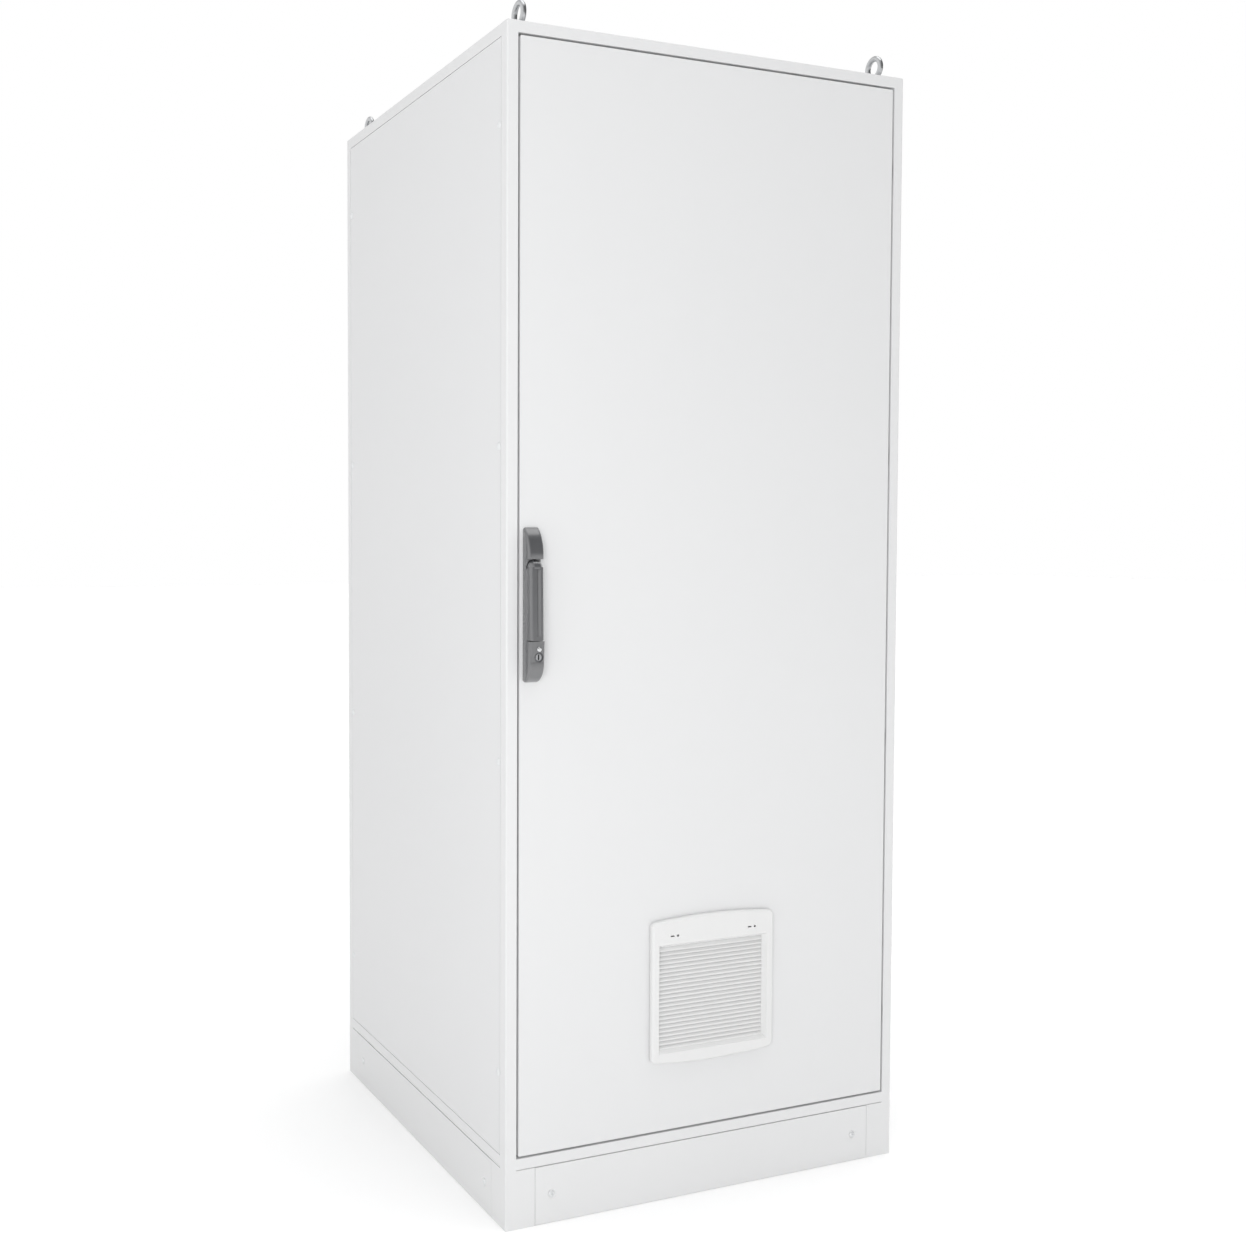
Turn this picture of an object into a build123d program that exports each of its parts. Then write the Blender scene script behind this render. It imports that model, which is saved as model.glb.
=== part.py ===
from build123d import *
from math import acos, cos, pi, radians, sin, sqrt, tan
import os

# Free-standing battery cabinet: a welded profile frame on a plinth, clad with screwed trays,
# with one flush door, a swing-handle rod lock and a filtered air inlet.
# Frame of the part: +X to the right, +Y to the back, +Z up; the origin is the middle of the
# floor area that the cabinet stands on. Lengths are in millimetres.

# ---- driving sizes of the cabinet ----
WIDTH = 800.0
DEPTH = 800.0
BODY_HEIGHT = 1900.0
PLINTH_HEIGHT = 100.0

# ---- frame profile, seen along its length ----
NOSE_FRONT = 20.0          # bare face beside the door
NOSE_SIDE = 22.0           # bare face beside a side, roof or rear tray
DOOR_LAND = 26.0           # depth of the sealing face behind the front
TRAY_LAND = 10.0           # depth of the seat of the side and roof trays
PROFILE = 48.0             # overall reach of the profile from the outer edge
FRAME_WALL = 2.0
EDGE_ROUND = 3.0
CORNER_BLOCK = 12.0        # solid ends of a post, bored for eyebolt and plinth bolt

# ---- cladding ----
TRAY_GAP = 1.2
TRAY_SHEET = 1.5
TRAY_LIP = 20.0
ROOF_SHEET = 2.0
SCREW_INSET = 30.0         # panel screw line from the cabinet's edge
SCREW_ROWS = 4
SCREW_PITCH = 525.0
PANEL_SCREW = 5.0
SCREW_BITE = 6.0           # how far a panel screw passes its seat
WASHER_DIAMETER = 14.0
WASHER_HEIGHT = 1.6
SCREW_HEAD = 9.0
SCREW_HEAD_HEIGHT = 1.0
HOLE_CLEARANCE = 0.2       # on the diameter, where a screw passes a sheet

# ---- eyebolts ----
EYE_INSET_X = 38.0
EYE_INSET_Y = 36.0
EYE_BOLT = 10.0
EYE_RING_MEAN = 35.0
EYE_ROD = 10.0
EYE_BORE = 25.4            # hole of the ring over the land left by trimming the forging's flash
EYE_CENTRE = 22.5          # ring centre above the roof
EYE_COLLAR = 25.0
EYE_COLLAR_HEIGHT = 6.0
EYE_TURN = 90.0            # plane of the ring, degrees from the cabinet's front
EYE_SHANK = 18.0
BOSS_DIAMETER = 28.0

# ---- plinth ----
PLINTH_CORNER = 55.0
PLINTH_SHEET = 2.5
PLINTH_PLATE = 4.0
PLINTH_TAB = 48.0
COVER_GAP = 0.6
COVER_FLANGE = 15.0
COVER_SCREW_INSET = 87.0
COVER_SCREW = 6.0
COVER_DIMPLE = 17.0
COVER_HEAD = 11.0
PLINTH_BOLT = 12.0
PLINTH_BOLT_HEAD = 8.0
PLINTH_BOLT_FLATS = 19.0
FLOOR_HOLE = 14.0

# ---- door ----
DOOR_GAP = 4.0
DOOR_DEPTH = 20.0
DOOR_SHEET = 1.5
DOOR_LIP = 32.0
DOOR_ROUND = 3.0
GASKET_INSET = 37.0        # from the cabinet's edge
GASKET_WIDTH = 9.0
GASKET_CLEARANCE = 0.3
RAIL_WIDTH = 25.0
RAIL_DEPTH = 16.0
RAIL_INSET = 66.0          # from the door's edge
RAIL_END = 60.0

# ---- door hinges ----
HINGE_EDGE = 10.0          # pin centre from the door's edge
HINGE_BACK = 8.0           # pin centre behind the cabinet's front
HINGE_PITCH = 520.0
HINGE_COUNT = 4
HINGE_PIN = 5.0
HINGE_KNUCKLE = 5.0        # outside radius
HINGE_HEIGHT = 24.0
HINGE_LEAF = 4.0
HINGE_FOOT = 14.0
HINGE_PLATE = 3.0
HINGE_EAR = 10.0
HINGE_RUN = 0.4            # axial play between knuckles
HINGE_PIN_END = 1.0
PIN_PLAY = 0.05            # radial play of a turning pin
NOTCH_PLAY = 3.0
NOTCH_SIDE = 1.0

# ---- swing handle ----
HANDLE_LENGTH = 256.0
HANDLE_WIDTH = 28.5
HANDLE_EDGE = 6.0          # from the door's edge
HANDLE_PROUD = 28.0
HANDLE_END_PROUD = 3.0
HANDLE_ROUND = 4.5
DOME_LENGTH = 52.0
DOME_PROUD = 22.0
DOME_SHOULDER = (15.0, 15.0)   # down from the top end, out from the door
LOCK_LENGTH = 69.0
LOCK_OFFSET = 2.7          # key and button to the right of the handle's middle
LOCK_NOSE = (35.0, 25.5)       # up from the bottom end, out from the door
LOCK_CHIN = (12.0, 19.0)
SADDLE_HEIGHT = 12.0
FINGER_WIDTH = 16.0
FINGER_FLOOR = 4.0
LEVER_WIDTH = 24.6
LEVER_ROUND = 5.0
LEVER_LIFT = 40.0
LEVER_BACK = 0.4           # air under the lever
PIVOT_PROUD = 14.5         # lever pivot in front of the door skin
BALL_RADIUS = 12.5         # round head of the lever about its pivot
HEAD_RADIUS = 11.5         # the same head seen from the side
HEAD_STEP = 0.3            # head in front of the grip's face
BALL_AIR = 0.6
LEVER_END_AIR = 0.8
GROOVE_SIDES = (-0.3, 6.0)     # steep wall and end of the slope, from the lever's middle
GROOVE_DEPTH = 4.0
GROOVE_ENDS = (7.0, 4.0)   # short of the lever's end and of its pivot
LUG_WIDTH = 8.0
LUG_ROUND = 4.0
LUG_AIR = 0.3
PIVOT_PIN = 4.0
PIVOT_PIN_INSET = 1.0
HUB_DISC = 2.4
HUB_AIR = 0.3
SPINDLE_SQUARE = 8.0
SQUARE_PLAY = 0.05
SPINDLE_HOLE = 14.0
HANDLE_SCREW = 5.0
HANDLE_SCREW_PITCH = 236.0
HANDLE_SCREW_HEAD = (9.0, 3.0)
HANDLE_SCREW_BITE = 2.0
CYLINDER_DIAMETER = 16.0
CYLINDER_RISE = 42.8       # key centre above the handle's lower end
CYLINDER_FACE = 24.0       # out from the door
CYLINDER_FIT = 0.1
PLUG_DIAMETER = 11.0
PLUG_PROUD = 1.0
PLUG_LENGTH = 20.0
KEYWAY = (2.6, 9.0, 4.0)
BUTTON_RISE = 56.4
BUTTON_DIAMETER = 8.6
BUTTON_PROUD = 2.0
BUTTON_ROUND = 2.0
BUTTON_LENGTH = 14.0
BUTTON_TRAVEL = 3.0

# ---- rod lock ----
GEAR_MODULE = 1.5
GEAR_TEETH = 12
PRESSURE_ANGLE = 20.0
GEAR_ADDENDUM = 1.3
RACK_ADDENDUM = 1.0
ROOT_CLEARANCE = 0.4
BACKLASH = 0.36            # thickness taken off each tooth
GEAR_WIDTH = 6.0
HANDLE_TURN = 90.0
ROD = 5.5                  # square rod
ROD_FRONT = 7.0            # rod's front face behind the cabinet's front
RACK_SPARE = 3             # rack teeth beyond those that pass in one turn of the handle
RACK_END = 2.6             # rod beyond its last tooth space
CASE_WALL = 1.8
CASE_HALF_HEIGHT = 34.0
CASE_DEPTH = 15.7
JOURNAL = 14.0             # bearing diameter of the pinion
ROD_PLAY = 0.4
ROD_TIP_AIR = 0.6          # between a thrown rod and the frame
ROD_TIP_TAPER = 2.0
GUIDE_HEIGHT = 14.0
GUIDE_WALL = 2.0
GUIDE_SETBACKS = (60.0, 420.0)   # from the door's end

# ---- air inlet in the door ----
VENT_WIDTH = 250.0
VENT_HEIGHT = 246.0        # at the corners
VENT_BOW = 7.0
VENT_CENTRE = 371.0        # above the floor
VENT_CORNER = 9.0
VENT_CUTOUT = 224.0
VENT_FLANGE = 1.6
VENT_FLANGE_INSET = 2.0    # flange inside the cover's outline
COVER_AIR = 0.3
COVER_THICK = 9.0
COVER_EDGE = 4.0
COVER_SKIN = 2.6
COVER_RIM = 8.0
FIELD_WIDTH = 223.0        # mouth of the splayed recess
FIELD_HEIGHT = 191.0
FIELD_RISE = -12.0         # its centre from the vent centre
FIELD_SPLAY = 5.5          # each wall runs in by this down to the slats
FIELD_RECESS = 9.0
FIELD_WALL = 2.0
SLAT_PITCH = 7.5
SLAT_SHEET = 1.2
SLAT_RAKE = 52.0
SLAT_DEPTH = 5.5
RIB_COUNT = 3
RIB_WIDTH = 3.0
RIB_DEPTH = 2.0
HOUSING_DEPTH = 26.0
HOUSING_WALL = 2.5
HOUSING_PLAY = 0.5
GUARD_BARS = 4
GUARD_BAR = 3.0
FILTER_THICK = 16.0
FILTER_PLAY = 0.3
RELEASE_SLOTS = (-85.0, 74.0)
RELEASE_HOLES = (-74.0, 85.0)
RELEASE_RISE = 98.0
RELEASE_SLOT = (8.0, 2.6)
RELEASE_HOLE = 4.5
COVER_HINGE_RISE = 4.5     # hinge line above the lowest point of the rim
COVER_HINGE_X = 70.0
COVER_NOSE = 4.7           # round lower edge about the hinge line
COVER_LUG = 8.0
COVER_LUG_ROUND = 2.6
COVER_LUG_TAB = 8.0
COVER_PIN = 2.4
COVER_PIN_LENGTH = 20.0

# ---- inside ----
FLOOR_SHEET = 2.0
FLOOR_INSET = 30.0
ENTRY_WIDTH = 420.0
ENTRY_DEPTH = 90.0
ENTRY_BACK = 110.0         # entry centre from the cabinet's back
ENTRY_LAP = 15.0
STRIP_SHEET = 2.5
STRIP_START = 27.0
STRIP_DEPTH = 48.0
STRIP_RETURN = 16.0
STRIP_SLOT = (12.0, 8.0)
STRIP_PITCH = 50.0
STRIP_END = 25.0
SHELF_COUNT = 4
SHELF_FIRST = 190.0
SHELF_PITCH = 400.0
SHELF_SHEET = 2.0
SHELF_LIP = 25.0
SHELF_SIDE_AIR = 1.5
SHELF_INSET = 60.0
SHELF_SLOT = (60.0, 12.0)
SHELF_SLOT_ROWS = 4
SHELF_SLOT_COLUMNS = 5
RUNNER_HEIGHT = 30.0
RUNNER_WIDTH = 36.0
RUNNER_SHEET = 2.5
RUNNER_INSET = 52.0
DIN_DROP = 260.0            # middle of the rail below the cabinet's top
DIN_WIDTH = 35.0
DIN_DEPTH = 7.5
DIN_SHEET = 1.0
DIN_SETBACK = 110.0        # behind the cabinet's front
DIN_BRIM = 5.0
DIN_PLATE = 2.0
DIN_PLATE_TALL = 45.0
DIN_PLATE_START = 30.0
DIN_HOOK = 2.0
DIN_HOOK_REACH = 1.5
DIN_FIT = 0.1
BREAKER_POLES = 3
POLE_WIDTH = 18.0
BREAKER_TALL = 82.0
BREAKER_DEPTH = 66.0
BREAKER_NOSE = (45.0, 18.0)
BREAKER_X = -120.0
TOGGLE_SETBACK = 5.0       # pivot behind the breaker's face
TOGGLE_INSET = 3.0
TOGGLE_LEVER = 4.0
TOGGLE_ROUND = 7.0
TOGGLE_REACH = 15.0
TOGGLE_AIR = 0.4
TOGGLE_SWING = 28.0        # either side of level
TERMINAL_COUNT = 10
TERMINAL_PITCH = 12.0
TERMINAL_AIR = 0.1
TERMINAL_TALL = 52.0
TERMINAL_DEPTH = 46.0
TERMINAL_X = 40.0
TERMINAL_CHAMFER = 5.0
TERMINAL_ENTRY = 5.0

PAST = 1.0                 # how far a cut runs past the faces it opens

# ---- places worked out from the sizes above ----
HEIGHT = PLINTH_HEIGHT + BODY_HEIGHT
HALF_WIDTH = WIDTH / 2
HALF_DEPTH = DEPTH / 2
FRONT = -HALF_DEPTH
MIDDLE = PLINTH_HEIGHT + BODY_HEIGHT / 2
DOOR_INSET = NOSE_FRONT + DOOR_GAP
DOOR_WIDTH = WIDTH - 2 * DOOR_INSET
DOOR_BOTTOM = PLINTH_HEIGHT + DOOR_INSET
DOOR_TOP = HEIGHT - DOOR_INSET
TRAY_INSET = NOSE_SIDE + TRAY_GAP
SCREW_HEIGHTS = [MIDDLE + SCREW_PITCH * (row - (SCREW_ROWS - 1) / 2) for row in range(SCREW_ROWS)]
HINGE_X = HALF_WIDTH - DOOR_INSET - HINGE_EDGE
HINGE_Y = FRONT + HINGE_BACK
HINGE_HEIGHTS = [MIDDLE + HINGE_PITCH * (row - (HINGE_COUNT - 1) / 2) for row in range(HINGE_COUNT)]
HANDLE_X = -HALF_WIDTH + DOOR_INSET + HANDLE_EDGE + HANDLE_WIDTH / 2
HANDLE_TOP = MIDDLE + HANDLE_LENGTH / 2
HANDLE_BOTTOM = MIDDLE - HANDLE_LENGTH / 2
DOME_FOOT = HANDLE_TOP - DOME_LENGTH
LOCK_HEAD = HANDLE_BOTTOM + LOCK_LENGTH
PIVOT_Z = DOME_FOOT - BALL_AIR - BALL_RADIUS
PIVOT_Y = FRONT - PIVOT_PROUD
LEVER_REACH = PIVOT_Z - LOCK_HEAD - LEVER_END_AIR
LOCK_X = HANDLE_X + LOCK_OFFSET
KEY_Z = HANDLE_BOTTOM + CYLINDER_RISE
BUTTON_Z = HANDLE_BOTTOM + BUTTON_RISE
GEAR_RADIUS = GEAR_MODULE * GEAR_TEETH / 2
ROD_TRAVEL = GEAR_RADIUS * radians(HANDLE_TURN)
RACK_TEETH = int(ROD_TRAVEL / (pi * GEAR_MODULE)) + RACK_SPARE
RACK_ROOT = GEAR_ADDENDUM + ROOT_CLEARANCE
ROD_X = GEAR_RADIUS + RACK_ROOT + ROD / 2
ROD_Y = FRONT + ROD_FRONT + ROD / 2
VENT_FACE = FRONT - VENT_FLANGE - COVER_AIR
COVER_HINGE_Y = VENT_FACE - COVER_THICK / 2
COVER_HINGE_Z = VENT_CENTRE - VENT_HEIGHT / 2 - VENT_BOW + COVER_HINGE_RISE
FLOOR_Z = PLINTH_HEIGHT + PROFILE
STRIP_FACE = HALF_WIDTH - PROFILE - STRIP_SHEET
SHELF_HEIGHTS = [SHELF_FIRST + SHELF_PITCH * row for row in range(SHELF_COUNT)]
DIN_HEIGHT = HEIGHT - DIN_DROP


def block(x0, x1, y0, y1, z0, z1):
    """Box between two corners."""
    return Pos((x0 + x1) / 2, (y0 + y1) / 2, (z0 + z1) / 2) * Box(x1 - x0, y1 - y0, z1 - z0)


def around(centre, half):
    """The two ends of a span about its middle."""
    return centre - half, centre + half


def rod_between(axis, centre, radius, start, end):
    """Round bar along one axis; centre holds the two other coordinates in X, Y, Z order."""
    middle = (start + end) / 2
    if axis == "x":
        return Pos(middle, *centre) * Rot(0, 90, 0) * Cylinder(radius, end - start)
    if axis == "y":
        return Pos(centre[0], middle, centre[1]) * Rot(90, 0, 0) * Cylinder(radius, end - start)
    return Pos(*centre, middle) * Cylinder(radius, end - start)


def save(node, *solids):
    """Write one node; a node of several like pieces keeps them as separate solids."""
    bodies = [solid for shape in solids for solid in shape.solids()]
    shape = bodies[0] if len(bodies) == 1 else Compound(children=bodies)
    shape.label = node
    export_step(shape, f"parts/{node}.step")


def mirrored_x(shape):
    return mirror(shape, about=Plane.YZ)


def mirrored_y(shape):
    return mirror(shape, about=Plane.XZ)


def four_corners(shape):
    """The same piece in all four corners, from the one at the front left."""
    front = [shape, mirrored_x(shape)]
    return front + [mirrored_y(piece) for piece in front]


# ---- frame ----

def profile_face(points):
    """Closed profile outline with its outer edge rounded."""
    outline = Polygon(*points, align=None)
    edge = outline.vertices().sort_by(lambda v: v.X + v.Y)[0]
    return fillet(edge, EDGE_ROUND)


def hollow(outline):
    return offset(outline, amount=-FRAME_WALL, kind=Kind.INTERSECTION)


def post_points():
    return [(0, 0), (NOSE_FRONT, 0), (NOSE_FRONT, DOOR_LAND), (PROFILE, DOOR_LAND), (PROFILE, PROFILE),
            (TRAY_LAND, PROFILE), (TRAY_LAND, NOSE_SIDE), (0, NOSE_SIDE)]


def post_envelope():
    """The filled front left post, which the rails are coped against."""
    outline = profile_face(post_points())
    post = Pos(-HALF_WIDTH, FRONT, PLINTH_HEIGHT) * extrude(outline, BODY_HEIGHT)
    crown = post.faces().sort_by(Axis.Z)[-1].edges().filter_by(lambda e: e.center().Z > HEIGHT - 1)
    outer = [e for e in crown if e.center().X < -HALF_WIDTH + EDGE_ROUND or e.center().Y < FRONT + EDGE_ROUND]
    return fillet(outer, EDGE_ROUND - 0.5)


def post():
    """Front left post: closed profile, solid at both ends, with its roof seat and bores."""
    left, front = -HALF_WIDTH, FRONT
    shape = post_envelope()
    cavity = extrude(hollow(Polygon(*post_points(), align=None)), BODY_HEIGHT - TRAY_LAND - 2 * CORNER_BLOCK)
    shape -= Pos(left, front, PLINTH_HEIGHT + CORNER_BLOCK) * cavity
    seat = HEIGHT - TRAY_LAND
    end = PROFILE + PAST
    shape -= block(left + NOSE_SIDE, left + end, front + NOSE_SIDE, front + end, seat, HEIGHT + PAST)
    eye = (left + EYE_INSET_X, front + EYE_INSET_Y)
    bore = (EYE_BOLT + HOLE_CLEARANCE) / 2
    shape -= rod_between("z", eye, bore, seat - CORNER_BLOCK - PAST, seat + PAST)
    bore = (PLINTH_BOLT + HOLE_CLEARANCE) / 2
    shape -= rod_between("z", eye, bore, PLINTH_HEIGHT - PAST, PLINTH_HEIGHT + CORNER_BLOCK + PAST)
    bore = (PANEL_SCREW + HOLE_CLEARANCE) / 2
    for z in SCREW_HEIGHTS:
        reach = left + TRAY_LAND + FRAME_WALL + 1
        shape -= rod_between("x", (front + SCREW_INSET, z), bore, left + TRAY_LAND - PAST, reach)
    return shape


def rear_post():
    """Rear left post: the front one mirrored, with screw holes for the rear tray as well."""
    shape = mirrored_y(post())
    bore = (PANEL_SCREW + HOLE_CLEARANCE) / 2
    land = HALF_DEPTH - DOOR_LAND
    for z in SCREW_HEIGHTS:
        centre = (-HALF_WIDTH + SCREW_INSET, z)
        shape -= rod_between("y", centre, bore, land - FRAME_WALL - PAST, land + PAST)
    return shape


def longest_piece(shape):
    """The rail itself, without the stubs that coping leaves beside the posts."""
    return shape.solids().sort_by(SortBy.VOLUME)[-1]


def front_rail(points):
    """Rail over the door, profile given as (down from the top, back from the front)."""
    face = profile_face(points)
    length = WIDTH
    tube = extrude(face, length) - extrude(hollow(Polygon(*points, align=None)), length)
    plane = Plane(origin=(-HALF_WIDTH, FRONT, HEIGHT), x_dir=(0, 0, -1), z_dir=(1, 0, 0))
    envelope = post_envelope()
    return longest_piece(plane * tube - envelope - mirrored_x(envelope))


def side_rail(points):
    """Left rail, profile given as (in from the side, down from the top)."""
    face = profile_face(points)
    length = DEPTH
    tube = extrude(face, length) - extrude(hollow(Polygon(*points, align=None)), length)
    plane = Plane(origin=(-HALF_WIDTH, -HALF_DEPTH, HEIGHT), x_dir=(1, 0, 0), z_dir=(0, 1, 0))
    envelope = post_envelope()
    return longest_piece(plane * tube - envelope - mirrored_y(envelope))


def top_front_rail():
    return front_rail([(0, 0), (NOSE_FRONT, 0), (NOSE_FRONT, DOOR_LAND), (PROFILE, DOOR_LAND),
                       (PROFILE, PROFILE), (TRAY_LAND, PROFILE), (TRAY_LAND, NOSE_SIDE), (0, NOSE_SIDE)])


def top_side_rail():
    return side_rail([(0, 0), (NOSE_SIDE, 0), (NOSE_SIDE, TRAY_LAND), (PROFILE, TRAY_LAND),
                      (PROFILE, PROFILE), (TRAY_LAND, PROFILE), (TRAY_LAND, NOSE_SIDE), (0, NOSE_SIDE)])


def base_front_rail():
    """Like the rail over the door, upside down, with a flat foot on the plinth."""
    rail = front_rail([(0, 0), (NOSE_FRONT, 0), (NOSE_FRONT, DOOR_LAND), (PROFILE, DOOR_LAND),
                       (PROFILE, PROFILE), (0, PROFILE)])
    return mirror(rail, about=Plane.XY.offset(MIDDLE))


def base_side_rail():
    rail = side_rail([(0, 0), (PROFILE, 0), (PROFILE, PROFILE), (TRAY_LAND, PROFILE),
                      (TRAY_LAND, NOSE_SIDE), (0, NOSE_SIDE)])
    return mirror(rail, about=Plane.XY.offset(MIDDLE))


# ---- cladding ----

def tray(width, height, depth, sheet, lip):
    """Folded tray lying in X and Y, its skin at the top, its lip turned in at the bottom."""
    shell = Pos(0, 0, -depth / 2) * Box(width, height, depth)
    inside = depth - 2 * sheet
    shell -= Pos(0, 0, -sheet - inside / 2) * Box(width - 2 * sheet, height - 2 * sheet, inside)
    return shell - Pos(0, 0, -depth + sheet / 2) * Box(width - 2 * lip, height - 2 * lip, sheet + PAST)


def side_panel():
    """Left side tray with its row of screw holes along each upright edge."""
    width = DEPTH - 2 * TRAY_INSET
    height = BODY_HEIGHT - 2 * TRAY_INSET
    plane = Plane(origin=(-HALF_WIDTH, 0, MIDDLE), x_dir=(0, -1, 0), z_dir=(-1, 0, 0))
    panel = plane * tray(width, height, TRAY_LAND, TRAY_SHEET, TRAY_LIP)
    bore = (PANEL_SCREW + HOLE_CLEARANCE) / 2
    for y in (FRONT + SCREW_INSET, -FRONT - SCREW_INSET):
        for z in SCREW_HEIGHTS:
            panel -= rod_between("x", (y, z), bore, -HALF_WIDTH - PAST, -HALF_WIDTH + TRAY_LAND + PAST)
    return panel


def rear_panel():
    """Rear tray, as deep as the door's rebate, screwed along both upright edges."""
    inset = NOSE_FRONT + TRAY_GAP
    plane = Plane(origin=(0, HALF_DEPTH, MIDDLE), x_dir=(-1, 0, 0), z_dir=(0, 1, 0))
    width = WIDTH - 2 * inset
    height = BODY_HEIGHT - 2 * inset
    panel = plane * tray(width, height, DOOR_LAND, TRAY_SHEET, TRAY_LIP)
    bore = (PANEL_SCREW + HOLE_CLEARANCE) / 2
    for x in (-HALF_WIDTH + SCREW_INSET, HALF_WIDTH - SCREW_INSET):
        for z in SCREW_HEIGHTS:
            panel -= rod_between("y", (x, z), bore, HALF_DEPTH - DOOR_LAND - PAST, HALF_DEPTH + PAST)
    return panel


def roof_panel():
    """Roof tray with a bored boss under each eyebolt."""
    width = WIDTH - 2 * TRAY_INSET
    depth = DEPTH - 2 * TRAY_INSET
    shell = Pos(0, 0, HEIGHT - TRAY_LAND / 2) * Box(width, depth, TRAY_LAND)
    hollow_height = TRAY_LAND - ROOF_SHEET
    hollow_z = HEIGHT - TRAY_LAND + hollow_height / 2
    shell -= Pos(0, 0, hollow_z) * Box(width - 2 * ROOF_SHEET, depth - 2 * ROOF_SHEET, hollow_height)
    for sx in (-1, 1):
        for sy in (-1, 1):
            centre = (sx * (HALF_WIDTH - EYE_INSET_X), sy * (HALF_DEPTH - EYE_INSET_Y))
            shell += rod_between("z", centre, BOSS_DIAMETER / 2, HEIGHT - TRAY_LAND, HEIGHT)
            bore = (EYE_BOLT + HOLE_CLEARANCE) / 2
            shell -= rod_between("z", centre, bore, HEIGHT - TRAY_LAND - PAST, HEIGHT + PAST)
    return shell


def panel_screw(seat_depth):
    """Oval head in a cup washer, seat at Z = 0, shank pointing down."""
    washer = Pos(0, 0, WASHER_HEIGHT / 2) * Cone(WASHER_DIAMETER / 2, SCREW_HEAD / 2 + 0.5, WASHER_HEIGHT)
    top = WASHER_HEIGHT + SCREW_HEAD_HEIGHT / 2
    head = Pos(0, 0, top) * Cone(SCREW_HEAD / 2, SCREW_HEAD / 3, SCREW_HEAD_HEIGHT)
    length = seat_depth + SCREW_BITE
    return washer + head + Pos(0, 0, -length / 2) * Cylinder(PANEL_SCREW / 2, length)


def panel_screws():
    screws = []
    for z in SCREW_HEIGHTS:
        for y in (FRONT + SCREW_INSET, -FRONT - SCREW_INSET):
            screw = Plane(origin=(-HALF_WIDTH, y, z), z_dir=(-1, 0, 0)) * panel_screw(TRAY_LAND)
            screws += [screw, mirrored_x(screw)]
        seat = Plane(origin=(-HALF_WIDTH + SCREW_INSET, HALF_DEPTH, z), z_dir=(0, 1, 0))
        screw = seat * panel_screw(DOOR_LAND)
        screws += [screw, mirrored_x(screw)]
    return screws


def eyebolt():
    """Forged lifting eye with collar, at the front left corner."""
    ring = Rot(0, 0, EYE_TURN) * Rot(90, 0, 0) * Torus(EYE_RING_MEAN / 2, EYE_ROD / 2)
    trim = Rot(0, 0, EYE_TURN) * Rot(90, 0, 0) * Cylinder(EYE_BORE / 2, EYE_ROD)
    bolt = Pos(0, 0, EYE_CENTRE) * (ring - trim)
    bolt += Pos(0, 0, EYE_COLLAR_HEIGHT / 2) * Cone(EYE_COLLAR / 2, EYE_COLLAR / 3, EYE_COLLAR_HEIGHT)
    bolt += Pos(0, 0, -EYE_SHANK / 2) * Cylinder(EYE_BOLT / 2, EYE_SHANK)
    return Pos(-HALF_WIDTH + EYE_INSET_X, FRONT + EYE_INSET_Y, HEIGHT) * bolt


# ---- plinth ----

def plinth_corner():
    """Front left plinth corner: two walls, foot and head plates, and the tabs behind the covers."""
    left, front = -HALF_WIDTH, FRONT
    right, back = left + PLINTH_CORNER, front + PLINTH_CORNER
    shape = block(left, right, front, front + PLINTH_SHEET, 0, PLINTH_HEIGHT)
    shape += block(left, left + PLINTH_SHEET, front, back, 0, PLINTH_HEIGHT)
    shape = fillet(shape.edges().filter_by(Axis.Z).sort_by(lambda e: e.center().X + e.center().Y)[0], 2.0)
    inner = (left + PLINTH_SHEET - 0.5, front + PLINTH_SHEET - 0.5)
    for z in (0, PLINTH_HEIGHT - PLINTH_PLATE):
        shape += block(inner[0], right, inner[1], back, z, z + PLINTH_PLATE)
    tab = PLINTH_TAB
    low, high = 2 * PLINTH_PLATE, PLINTH_HEIGHT - 2 * PLINTH_PLATE
    lap = 10.0
    shape += block(right - lap, right + tab, front + PLINTH_SHEET, front + 2 * PLINTH_SHEET, low, high)
    shape += block(left + PLINTH_SHEET, left + 2 * PLINTH_SHEET, back - lap, back + tab, low, high)
    centre = (left + EYE_INSET_X, front + EYE_INSET_Y)
    bore = (PLINTH_BOLT + HOLE_CLEARANCE) / 2
    shape -= rod_between("z", centre, bore, PLINTH_HEIGHT - PLINTH_PLATE - PAST, PLINTH_HEIGHT + PAST)
    shape -= rod_between("z", centre, FLOOR_HOLE / 2, -1, PLINTH_PLATE + PAST)
    bore = (COVER_SCREW + HOLE_CLEARANCE) / 2
    middle = PLINTH_HEIGHT / 2
    through = 3 * PLINTH_SHEET
    shape -= rod_between("y", (left + COVER_SCREW_INSET, middle), bore, front - PAST, front + through)
    return shape - rod_between("x", (front + COVER_SCREW_INSET, middle), bore, left - PAST, left + through)


def plinth_cover(span):
    """Cover for one side of the plinth, built along X with its face at Y = 0."""
    half = span / 2 - PLINTH_CORNER - COVER_GAP
    low, high = COVER_GAP, PLINTH_HEIGHT - COVER_GAP
    shape = block(-half, half, 0, PLINTH_SHEET, low, high)
    for z in (low, high - PLINTH_SHEET):
        shape += block(-half, half, 0, COVER_FLANGE, z, z + PLINTH_SHEET)
    for x in (-span / 2 + COVER_SCREW_INSET, span / 2 - COVER_SCREW_INSET):
        seat = Plane(origin=(x, 0, PLINTH_HEIGHT / 2), z_dir=(0, -1, 0))
        depth = PLINTH_SHEET / 2
        shape -= seat * Pos(0, 0, -depth / 2) * Cone(COVER_HEAD / 2 + 0.5, COVER_DIMPLE / 2, depth)
        shape -= seat * Cylinder((COVER_SCREW + HOLE_CLEARANCE) / 2, 4 * PLINTH_SHEET)
    return shape


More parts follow.
